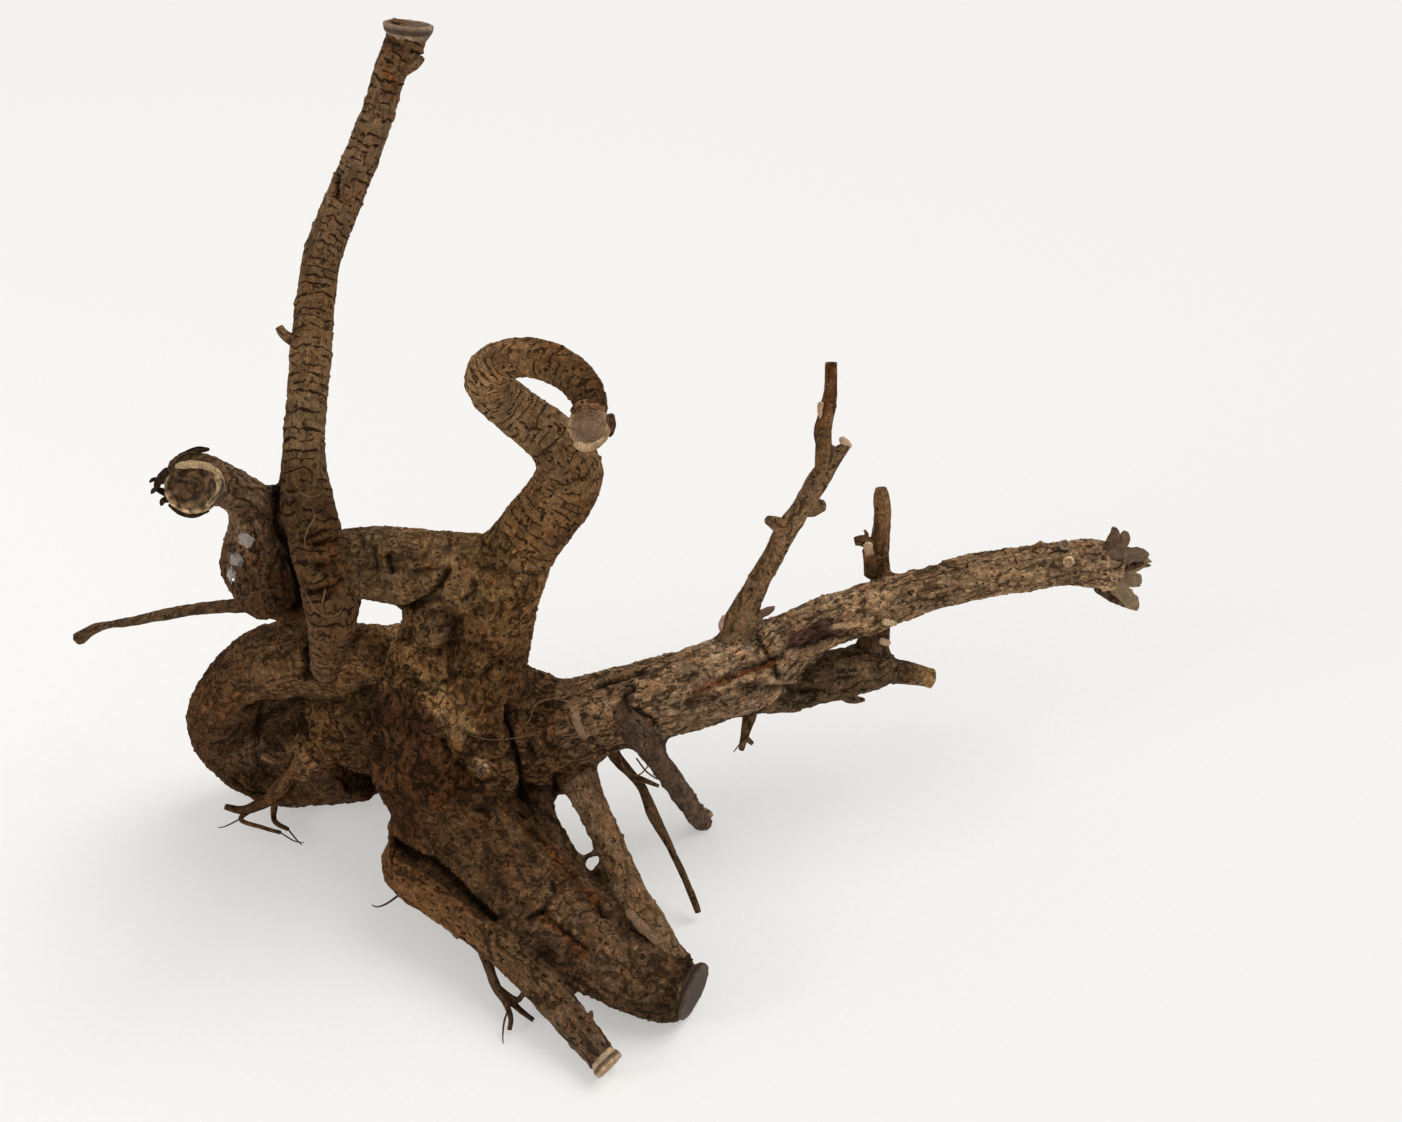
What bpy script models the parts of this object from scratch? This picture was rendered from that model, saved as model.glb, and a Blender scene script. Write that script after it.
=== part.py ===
"""Driftwood: one twisted root stump with a tall stem, two coiled limbs, a long arm and spreading roots.

The wood grew as one piece, so it is one solid. Its limbs are tubes swept along hand-chosen routes, grown together
into one skin. Thin twigs and rootlets are joined on afterwards, and the low points are cut flat where it rests.
"""

import math

import bmesh
import bpy
import numpy as np
from mathutils import Vector, noise

MM = 0.001
NAME = "driftwood"
SKIN_CELL = 1.8  # cell of the voxel skin that grows the limbs together
SKIN_SMOOTHING = 6
SKIN_TRIANGLES = 8000
LIMB_SIDES = 20
TWIG_SIDES = 8
STATION_STEP = 4.0  # distance between the rings of a swept limb
TWIG_STEP = 8.0
SWELLING, SWELLING_HEIGHT = 22, 0.9
SWIRL = 30
SWIRL_SEED = 7
RIDGE, RIDGE_HEIGHT = 9, 0.8

# A station is x, y, z and radius in millimetres. +X is right, +Y is away from the viewer, and z = 0 is the floor.
LIMBS = {
    "tall_stem": [
        (-84, -4, 96, 4.5), (-78, -11, 115, 6.8), (-74.5, -14, 130, 8.4), (-75.5, -8, 143, 8.2),
        (-78, -3, 152.5, 8.6), (-81.5, 2, 161, 7.9), (-82.5, 10, 171, 6.7), (-82.5, 22, 182, 6.4),
        (-82, 34, 193, 6.5), (-82, 47, 203.5, 6.2), (-80.5, 58, 214, 6.2), (-75, 68, 226, 6), (-68, 75, 239.5, 5.7),
        (-62, 79, 252, 5.6), (-57.5, 81, 263.5, 5.5), (-52.5, 82.5, 271.5, 6.1), (-50, 83, 277, 7),
    ],
    "horizontal_limb": [
        (-84, 14, 127, 9.7), (-69, 14, 126.5, 12.3), (-52, 10, 127, 12.8), (-35, 6, 128.5, 12.7), (-24, 3, 131, 12),
    ],
    "neck": [(-19, 3, 140, 11), (-25.5, 3, 120, 11.8), (-30.5, 3, 103.5, 13.2), (-37, 4, 86, 16), (-42, 5, 70, 20)],
    "web": [(-48.5, 10, 126, 10.9), (-47, 9, 112, 11.6), (-50.5, 9, 95.5, 13.5), (-54, 8, 78, 17)],
    "loop": [
        (-24, 3, 130.5, 11.4), (-18, 4, 140, 11.2), (-10.5, 5, 150, 10.9), (-4, 7, 158, 10.5), (-1.5, 8, 166, 10),
        (-5, 9, 174, 8.9), (-12, 10, 181, 8.5), (-18.5, 9, 187.5, 8.3), (-22.5, 7, 193, 7.9), (-23.5, 3, 199, 7.2),
        (-21.5, -1, 204.5, 6.8), (-16, -5, 209, 6.7), (-9.5, -9, 211.5, 6.6), (-1.5, -14, 211.5, 6.5),
        (4, -18, 210, 6), (7.5, -22, 207, 5.7), (8.5, -26, 203.5, 5.5), (8, -31, 201.5, 5.8),
    ],
    "coil": [
        (-110, -17, 175.5, 8.8), (-107.5, -12, 173.5, 7.9), (-103, -5, 169.5, 6.8), (-98.5, 2, 162, 7.6),
        (-98.5, 6, 150, 8.6), (-101, 6, 139, 11), (-101.5, 8, 128, 12.6), (-97, 10, 118.5, 10.4),
        (-89, 14, 111.5, 9), (-80, 18, 104, 10),
    ],
    "lobe_rim": [
        (-70, 16, 84, 13), (-84, 18, 82, 13), (-101.5, 24, 78, 13.2), (-122.5, 30, 64, 13.6), (-137, 34, 41, 13.2),
        (-138, 37, 18.5, 11.4), (-127, 37, 8.2, 10), (-108, 32, 15, 10.6), (-86, 22, 32, 14),
    ],
    "lobe_floor": [
        (-92, 33, 68, 14), (-106, 38, 58, 14), (-120, 41, 42, 13), (-121, 41, 28, 12), (-108, 34, 28, 13),
        (-98, 30, 34, 14), (-88, 30, 42, 15),
    ],
    "body": [(-88, 22, 52, 20), (-67, 16, 66, 22), (-48, 10, 67, 25), (-31, 8, 65, 21), (-14, 8, 60, 18)],
    "belly": [(-50, 8, 92, 17), (-50, 9, 68, 25), (-53, 6, 48, 24), (-54, 18, 24, 21)],
    "back_strand_low": [(-128, 42, 22, 9), (-104, 46, 27, 14), (-76, 44, 36, 18), (-48, 36, 42, 19), (-20, 22, 52, 14)],
    "back_strand_high": [
        (-116, 40, 64, 9), (-94, 42, 66, 13), (-68, 36, 72, 16), (-44, 24, 84, 14), (-28, 12, 102, 11),
    ],
    "back_strand_down": [(-70, 40, 60, 14), (-58, 42, 40, 16), (-46, 28, 22, 16), (-38, 6, 18, 14)],
    "foot": [
        (-53, 0, 39, 22.5), (-39, -14, 27.5, 22.6), (-24, -28, 20.5, 20.6), (-9.5, -39, 17, 18.3),
        (4.5, -49, 14.6, 15.7), (18, -57, 12.5, 13.8), (27, -61.5, 11.8, 12.8), (33.5, -63.5, 11.6, 11.2),
    ],
    "bark_flap": [
        (-22, -2, 39, 7), (-14.5, -12, 33.5, 4.4), (-6, -24, 28, 4), (3, -35, 24, 3.8), (13, -45, 20, 3.6),
    ],
    "front_leg": [
        (-50, -6, 30, 9), (-58, -13, 27, 8), (-64.5, -21, 26.5, 7.4), (-62, -27, 25, 7.1), (-50, -35, 23, 7.1),
        (-39, -43, 21, 6.7), (-28, -52, 19.5, 6.3), (-19, -60, 16.8, 6), (-10.5, -68, 13.5, 5.8),
        (-2, -76, 9.8, 5.6), (4.8, -83, 6.9, 5.3), (8.8, -87.5, 5.6, 5),
    ],
    "right_arm": [
        (-22, 8, 58, 18), (-7, 8, 63.5, 15.9), (6.5, 12, 65, 14.6), (24, 16, 68, 14.6), (41, 22, 69, 14.6),
        (57, 28, 72, 13.6), (68, 31, 80, 10.6), (80, 36, 84.5, 9.2), (98, 43, 87, 8.9), (120, 50, 90, 8.6),
        (142.5, 57, 92, 8.4), (165.5, 63, 91, 8.3), (181, 67, 89, 8.6), (190, 69, 86, 9.4),
    ],
    "lower_stub": [(52, 27, 64, 11), (64, 30, 61.5, 9.8), (77, 33, 61.5, 9.5), (91.5, 36, 63, 8.8), (104, 38, 62, 6.4)],
    "second_root": [
        (-6, 7, 52, 9), (-4.5, 2, 46, 7.4), (-1.5, -5, 41.5, 6), (2, -11, 38, 5.6), (6.5, -20, 34, 5.3),
        (11.5, -29, 29.5, 5.2), (16, -39, 25.5, 5.8), (21.5, -47, 22.5, 6.3), (27, -56, 19.5, 6.3), (31, -61, 16, 6.5),
    ],
}

# Ellipsoid lumps: centre x, y, z and half sizes x, y, z.
LUMPS = [
    (-57, -2, 70, 13, 12, 14),  # dark burl
    (-34, -4, 56, 12, 13, 14),
    (-100, -2, 128, 9, 9, 11),
    (-14, 6, 48, 11, 12, 11),  # under the arm's root
]

# Furrows pressed into the skin, and ridges raised from it: a depth, a half width and the route on the surface.
FURROWS = [
    (4.5, 2.6, [(-26, -8, 86), (-25.5, -9, 77), (-24, -12, 66.5), (-24.5, -9, 48), (-19, -9, 42)]),
    (3, 3, [(-62, -5, 89), (-56.5, -4, 97), (-46.5, -5, 102), (-34.5, -9, 103), (-30, -11, 93), (-31, -11, 81)]),
    (2.6, 2.6, [(-59, 3, 116), (-52, -2, 123), (-42, -5, 129.5), (-38, -2, 137)]),
    (3, 3, [(-119, 15, 66), (-108, 14, 69), (-91, 7, 78)]),
    (3, 3, [(-80, 3, 78), (-77, -3, 65), (-72, -6, 52), (-72, 0, 40)]),
    (2.6, 2.2, [(-14, -27, 38), (-4, -36, 34), (5.5, -45, 31)]),
    (2.6, 2.2, [(-12.5, -51, 30), (-3, -56, 27), (6, -62, 23.5)]),
    (2.4, 2.6, [(-70, 56, 52), (-60, 58, 38), (-46, 46, 22)]),
    (2.4, 2.6, [(-104, 58, 44), (-84, 60, 54), (-60, 50, 62), (-36, 36, 72)]),
]
RIDGES = [
    (2.6, 3.6, [(-69, -6, 76), (-65, -5, 86), (-55, -8, 91.5), (-48.5, -11, 85), (-51, -13, 74), (-61, -14, 70)]),
    (2, 3.4, [(-58, 0, 100), (-49, -3, 108), (-37, -5, 112), (-26, -8, 109)]),
    (2.4, 3.6, [(-53, -19, 53), (-39, -29, 45), (-28, -37, 39), (-15, -45, 33)]),
]

# Twigs and rootlets: the routes keep whole or half millimetres like the limbs.
TWIGS = {
    "left_twig": [
        (-92, 22, 104, 5), (-101, 24, 101, 3.2), (-117, 30, 97.5, 2.8), (-139.5, 42, 87, 2.4), (-159, 52, 76.5, 2.2),
        (-174.5, 60, 67.5, 1.9), (-184, 65, 62.5, 1.6), (-193, 69, 57.5, 2), (-201.5, 71, 51, 2.8),
    ],
    "stub_end": [(98, 37, 62.5, 5), (106, 39, 61, 5), (114, 40.5, 58.5, 4.6), (122.5, 42, 55.5, 4.2)],
    "arm_post": [
        (100.5, 42, 61, 6.2), (100.5, 43, 71, 6), (103, 56, 76, 4.8), (103.5, 60, 86.5, 4.2), (102.5, 61, 99, 3.7),
        (102.5, 63, 111, 3.3), (102, 64, 119, 3.2), (101.5, 65, 123, 2.2),
    ],
    "arm_post_hook": [(102, 61.5, 99, 3), (96, 60, 103.5, 2.4), (93, 60, 105, 2), (95.5, 60, 109.5, 1.3)],
    "arm_post_stub": [(103, 61, 94, 3), (97.5, 59, 99.5, 2.3)],
    "tall_twig": [
        (50, 29, 80, 6.5), (50.5, 32, 86, 6), (54.5, 36, 94.5, 4.9), (59, 39, 103, 4.4), (63, 41, 111, 4.2),
        (67.5, 43, 120.5, 4), (73.5, 46, 129.5, 3.8), (79, 48, 139, 3.7), (83.5, 50, 145, 3), (87, 52, 148, 1.8),
    ],
    "tall_twig_tip": [
        (79, 48, 138, 3), (79, 49, 149, 3.1), (78.5, 50, 155, 3.3), (80, 52, 162.5, 2.9), (80.5, 53, 170.5, 2.3),
        (80.5, 55, 177.5, 2.2),
    ],
    "tall_twig_nub": [(68, 43, 120, 3), (64, 42, 123, 2.5), (60.5, 41, 125.5, 1.6)],
    "tall_twig_knot": [(73, 46, 127, 3), (76.5, 46, 127.5, 3), (80, 45, 128.5, 1.8)],
    "third_root": [
        (8, 8, 72, 6), (15, 0, 69, 5.6), (18.5, -1, 62, 5.4), (22.5, 2, 52, 5.1), (28.5, 8, 35, 5),
        (33.5, 15, 17.5, 4.7), (38, 21.5, 2.5, 4.5), (39, 23, -2, 4.5),
    ],
    "thin_root": [
        (7, 6, 58, 3), (8, 3, 53, 2.2), (17, -2, 43.5, 1.6), (21.5, -8, 35, 2.1), (27, -14, 26.5, 1.3),
        (34, -21, 12, 1.3), (37, -24, 4, 1.1),
    ],
    "thin_root_side": [(14, -1, 47, 1.2), (19, -3, 46.5, 0.9), (23.5, -4, 45, 0.6)],
    "stem_thorn": [(-82, 36, 192, 3), (-88.5, 33, 197.5, 1.7), (-90.5, 33, 201, 1.2)],
    "stem_spur": [(-53, 80, 266, 3), (-47.5, 79, 268, 2), (-45.5, 79, 269.5, 1)],
    "leg_rootlet": [
        (-37, -45, 20, 3), (-35, -48, 17.5, 2.3), (-33, -53, 15.5, 1.9), (-30, -59, 10.5, 1.6), (-27, -63, 7.5, 1.4),
        (-24, -66, 6.8, 1.1),
    ],
    "leg_rootlet_left": [(-27.5, -62, 8, 1.2), (-24, -68, 4, 0.9), (-24, -72, 2.2, 0.7)],
    "leg_rootlet_right": [(-28.5, -60.5, 8.5, 1.2), (-22, -64, 6.8, 1), (-19, -60, 9.5, 0.7)],
    "leg_rootlet_low": [(-24, -64.5, 6.8, 1.1), (-20, -67, 4.5, 0.9), (-16.5, -69, 3.2, 0.7)],
    "leg_thorn": [(-40, -40, 18, 2.4), (-42.5, -42, 15.5, 1.8), (-44.5, -44, 14, 1.1)],
    "leg_spike": [(-0.5, -77, 9.5, 2.6), (3, -78, 16, 1.1), (3.5, -78, 18.8, 0.7)],
    "lobe_rootlet": [
        (-110, 33, 13, 4), (-116.5, 30, 10.5, 3), (-124, 25, 8.5, 2.3), (-132.5, 20, 9.8, 1.7), (-138, 18, 13.5, 1.1),
    ],
    "lobe_rootlet_low": [
        (-126, 25, 9, 1.4), (-133, 17, 8.4, 0.9), (-124, 13, 7.8, 0.8), (-117, 11, 7.2, 0.7),
    ],
    "lobe_rootlet_curl": [(-122, 26, 9.5, 1.5), (-121.5, 19, 5.6, 1), (-115.5, 15, 4.9, 0.7)],
    "arm_spur": [(56, 27, 57, 3.4), (55.5, 26, 51.5, 2.6), (54, 22, 46.5, 1.7), (52.5, 20, 40, 1)],
    "arm_spur_side": [(53.5, 21.5, 45, 1.3), (56.5, 21, 42, 0.8)],
    "arm_bark_spur": [(66, 28, 57, 4), (69, 26, 53.5, 2.4), (71, 25, 51.5, 1)],
    "stub_jag": [(92, 36, 57, 4), (95, 35, 51, 2.6), (97.5, 33, 49.5, 1.1)],
}

# Torn end of the long arm: tapering splinters round the open mouth, base then tip.
SPLINTERS = [
    [(184, 68, 89, 6), (194, 69, 90.5, 5.2), (202.5, 70, 89.5, 3.4)],
    [(186, 68, 90, 5), (192, 68, 98, 3.2), (189.5, 68, 103, 1.1)],
    [(186, 68, 84, 6.5), (196, 70, 76.5, 5.2), (202, 71, 69.5, 3)],
    [(186, 72, 86, 7), (195, 75, 82, 5.6), (200, 77, 76, 3)],
]

# Knots: centre x, y, z and radius.
KNOTS = [
    (170, 60, 99.5, 3.4), (159.5, 59, 102, 3), (180, 66, 98, 3), (188, 62, 84, 2.4), (109, 42, 83, 2.6),
    (9, -62, 18, 4), (-36, -16, 61, 2.6),
]


def catmull_rom(a, b, c, d, t):
    """A point of the smooth curve between b and c."""
    return tuple(
        0.5 * (2 * q + (r - p) * t + (2 * p - 5 * q + 4 * r - s) * t**2 + (3 * q - p - 3 * r + s) * t**3)
        for p, q, r, s in zip(a, b, c, d)
    )


def smooth_route(stations, step):
    """Stations about a step apart on the smooth curve through the given ones."""
    ends = [stations[0], *stations, stations[-1]]
    route = []
    for a, b, c, d in zip(ends, ends[1:], ends[2:], ends[3:]):
        pieces = max(1, round(math.dist(b[:3], c[:3]) / step))
        route += [catmull_rom(a, b, c, d, piece / pieces) for piece in range(pieces)]
    return [*route, stations[-1]]


def swept_tube(name, stations, sides, step=STATION_STEP):
    """A mesh tube with filled ends along the route, as thick as each station says."""
    curve = bpy.data.curves.new(name, "CURVE")
    curve.dimensions = "3D"
    curve.bevel_depth = MM
    curve.bevel_resolution = (sides - 4) // 2
    curve.use_fill_caps = True
    route = smooth_route(stations, step)
    spline = curve.splines.new("POLY")
    spline.points.add(len(route) - 1)
    for point, (x, y, z, radius) in zip(spline.points, route):
        point.co = (x * MM, y * MM, z * MM, 1)
        point.radius = max(radius, 0.4)
    holder = bpy.data.objects.new(name, curve)
    bpy.context.scene.collection.objects.link(holder)
    mesh = bpy.data.meshes.new_from_object(holder.evaluated_get(bpy.context.evaluated_depsgraph_get()))
    bpy.data.objects.remove(holder)
    return mesh


def joined(meshes):
    """One mesh that holds all of these, with the cap rims of the tubes welded."""
    shape = bmesh.new()
    for mesh in meshes:
        shape.from_mesh(mesh)
        bpy.data.meshes.remove(mesh)
    bmesh.ops.remove_doubles(shape, verts=shape.verts, dist=0.02 * MM)
    bmesh.ops.recalc_face_normals(shape, faces=shape.faces)
    mesh = bpy.data.meshes.new(NAME)
    shape.to_mesh(mesh)
    shape.free()
    return mesh


def lump(x, y, z, half_x, half_y, half_z, fineness=3):
    """An ellipsoid."""
    shape = bmesh.new()
    bmesh.ops.create_icosphere(shape, subdivisions=fineness, radius=MM)
    bmesh.ops.scale(shape, vec=(half_x, half_y, half_z), verts=shape.verts)
    bmesh.ops.translate(shape, vec=Vector((x, y, z)) * MM, verts=shape.verts)
    mesh = bpy.data.meshes.new("lump")
    shape.to_mesh(mesh)
    shape.free()
    return mesh


def placed(name, mesh):
    """A new object for the mesh."""
    made = bpy.data.objects.new(name, mesh)
    bpy.context.scene.collection.objects.link(made)
    return made


def apply_modifiers(solid):
    """The object's mesh becomes what its modifiers make."""
    bpy.context.view_layer.update()
    made = bpy.data.meshes.new_from_object(solid.evaluated_get(bpy.context.evaluated_depsgraph_get()))
    old = solid.data
    solid.modifiers.clear()
    solid.data = made
    bpy.data.meshes.remove(old)
    made.name = NAME


def press(places, height, half_width, route):
    """How far each place is lifted by a ridge of this height along the route: a bell-shaped section, soft ends."""
    lift = np.zeros(len(places))
    for start, end in zip(route, route[1:]):
        start, along = np.array(start), np.subtract(end, start)
        share = np.clip((places - start) @ along / (along @ along), 0, 1)
        apart = np.linalg.norm(places - start - share[:, None] * along, axis=1)
        lift = np.maximum(lift, np.exp(-((apart / half_width) ** 2)))
    return height * lift


def swell_bark(mesh):
    """Moves the skin along its normals by a swirl of noise ridges, rounder swellings, and the furrows and ridges."""
    places = np.array([vertex.co for vertex in mesh.vertices]) / MM
    normals = np.array([vertex.normal for vertex in mesh.vertices])
    lift = np.array([bark_height(Vector(place)) for place in places])
    for depth, half_width, route in FURROWS:
        lift -= press(places, depth, half_width, route)
    for height, half_width, route in RIDGES:
        lift += press(places, height, half_width, route)
    mesh.vertices.foreach_set("co", ((places + normals * lift[:, None]) * MM).ravel())


def bark_height(place):
    """Rounded swellings, with ridges on them that follow a bent noise."""
    swelling = noise.noise(place / SWELLING)
    bent = place + noise.noise_vector(place / SWIRL) * SWIRL * 0.4
    ridge = 1 - 2 * abs(noise.noise(bent / RIDGE))
    return swelling * SWELLING_HEIGHT + (ridge - 0.6) * RIDGE_HEIGHT


def grow_together(solid):
    """Turns the overlapping limbs into one skin, softens the forks and lets bark swellings stand out."""
    skin = solid.modifiers.new("Skin", "REMESH")
    skin.mode = "VOXEL"
    skin.voxel_size = SKIN_CELL * MM
    soft = solid.modifiers.new("Soft forks", "LAPLACIANSMOOTH")
    soft.iterations = SKIN_SMOOTHING
    soft.lambda_factor = 1.2
    soft.use_volume_preserve = True
    apply_modifiers(solid)
    swell_bark(solid.data)
    solid.data.calc_loop_triangles()
    thin = solid.modifiers.new("Thin out", "DECIMATE")
    thin.ratio = SKIN_TRIANGLES / len(solid.data.loop_triangles)
    apply_modifiers(solid)


def rootlets():
    """Twigs, splinters and a row of bark teeth on the arm, as separate closed pieces."""
    pieces = [swept_tube(name, stations, TWIG_SIDES, TWIG_STEP) for name, stations in TWIGS.items()]
    pieces += [swept_tube("splinter", stations, TWIG_SIDES, TWIG_STEP) for stations in SPLINTERS]
    pieces += [lump(x, y, z, radius, radius, radius, 2) for x, y, z, radius in KNOTS]
    return pieces


def join_rootlets(solid):
    """One union joins all the thin pieces to the skin."""
    group = bpy.data.collections.new("rootlets")
    bpy.context.scene.collection.children.link(group)
    for mesh in rootlets():
        piece = bpy.data.objects.new(mesh.name, mesh)
        shape = bmesh.new()
        shape.from_mesh(mesh)
        bmesh.ops.remove_doubles(shape, verts=shape.verts, dist=0.02 * MM)
        bmesh.ops.recalc_face_normals(shape, faces=shape.faces)
        shape.to_mesh(mesh)
        shape.free()
        group.objects.link(piece)
    union = solid.modifiers.new("Rootlets", "BOOLEAN")
    union.operation = "UNION"
    union.operand_type = "COLLECTION"
    union.collection = group
    union.solver = "MANIFOLD"
    apply_modifiers(solid)
    for piece in list(group.objects):
        bpy.data.objects.remove(piece)
    bpy.data.collections.remove(group)


def stand_on_floor(solid):
    """Cuts everything under the floor away, which leaves the flat spots that it rests on."""
    depth = 60 * MM
    shape = bmesh.new()
    bmesh.ops.create_cube(shape, size=1)
    bmesh.ops.scale(shape, vec=(1, 1, depth), verts=shape.verts)
    bmesh.ops.translate(shape, vec=(0, 0, -depth / 2), verts=shape.verts)
    block = bpy.data.meshes.new("floor")
    shape.to_mesh(block)
    shape.free()
    floor = placed("floor", block)
    cut = solid.modifiers.new("Floor", "BOOLEAN")
    cut.operation = "DIFFERENCE"
    cut.object = floor
    cut.solver = "MANIFOLD"
    apply_modifiers(solid)
    bpy.data.objects.remove(floor)


def bark():
    """Dark brown weathered root bark."""
    material = bpy.data.materials.new("root bark")
    material.use_nodes = True
    shader = material.node_tree.nodes["Principled BSDF"]
    shader.inputs["Base Color"].default_value = (0.085, 0.055, 0.037, 1)
    shader.inputs["Roughness"].default_value = 0.8
    material.diffuse_color = (0.085, 0.055, 0.037, 1)
    return material


def main():
    noise.seed_set(SWIRL_SEED)
    for old in list(bpy.data.objects):
        bpy.data.objects.remove(old)
    limbs = [swept_tube(name, stations, LIMB_SIDES) for name, stations in LIMBS.items()]
    lumps = [lump(*sizes) for sizes in LUMPS]
    solid = placed(NAME, joined(limbs + lumps))
    grow_together(solid)
    join_rootlets(solid)
    stand_on_floor(solid)
    solid.data.materials.clear()
    solid.data.materials.append(bark())


main()
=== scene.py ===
"""The looks of a piece of driftwood: bark skin, cut wood, rootlets, loose fibres, and their stage."""

import functools
import math

import bpy
import numpy as np
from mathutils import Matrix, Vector


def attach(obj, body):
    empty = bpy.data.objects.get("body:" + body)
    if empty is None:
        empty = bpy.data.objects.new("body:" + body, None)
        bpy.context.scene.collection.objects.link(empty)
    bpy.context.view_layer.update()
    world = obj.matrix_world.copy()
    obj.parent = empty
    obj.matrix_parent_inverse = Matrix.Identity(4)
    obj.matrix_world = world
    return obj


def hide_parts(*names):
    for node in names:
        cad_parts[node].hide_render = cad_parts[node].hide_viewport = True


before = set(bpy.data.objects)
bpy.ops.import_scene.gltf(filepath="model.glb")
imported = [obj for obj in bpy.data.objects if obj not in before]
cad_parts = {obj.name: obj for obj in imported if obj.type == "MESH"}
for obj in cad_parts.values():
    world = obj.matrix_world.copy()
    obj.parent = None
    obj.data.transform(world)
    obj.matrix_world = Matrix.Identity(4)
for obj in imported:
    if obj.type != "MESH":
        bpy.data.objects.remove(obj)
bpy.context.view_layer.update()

bl_info = {
    "name": "Driftwood",
    "version": (1, 0, 0),
    "blender": (4, 5, 0),
    "location": "3D Viewport > Sidebar > Driftwood",
    "description": "Grows the bark skin, the cut ends and the rootlets of a twisted root stump",
    "category": "Object",
}

MM = 0.001
NODE = "driftwood"

# Where the skin is cut into pieces, in millimetres: right of an x, above a z, and left of an x.
RIGHT_OF, ABOVE, LEFT_OF = 12, 112, -66

# Painted shade in hollows: name, how often the neighbours' mean is taken, and how strongly the colour is
# darkened there.
HOLLOW_SHADE = (("crease", 5, 0.8), ("dell", 30, 0.07))

# How far apart the straightened coordinates of two limbs and of two twigs lie.
LIMBS_APART, TWIGS_APART = 137.0, 91.0

# The first seed for the noise of each kind of piece.
TWIG_SEED, CUT_SEED, BLADE_SEED, FIBRE_SEED = 100, 200, 300, 400

# How many random slopes and centres the noise draws, and the factors that pick one for a lattice corner.
DRAWN = 1024
PICK = (73856093, 19349663, 83492791)

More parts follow.
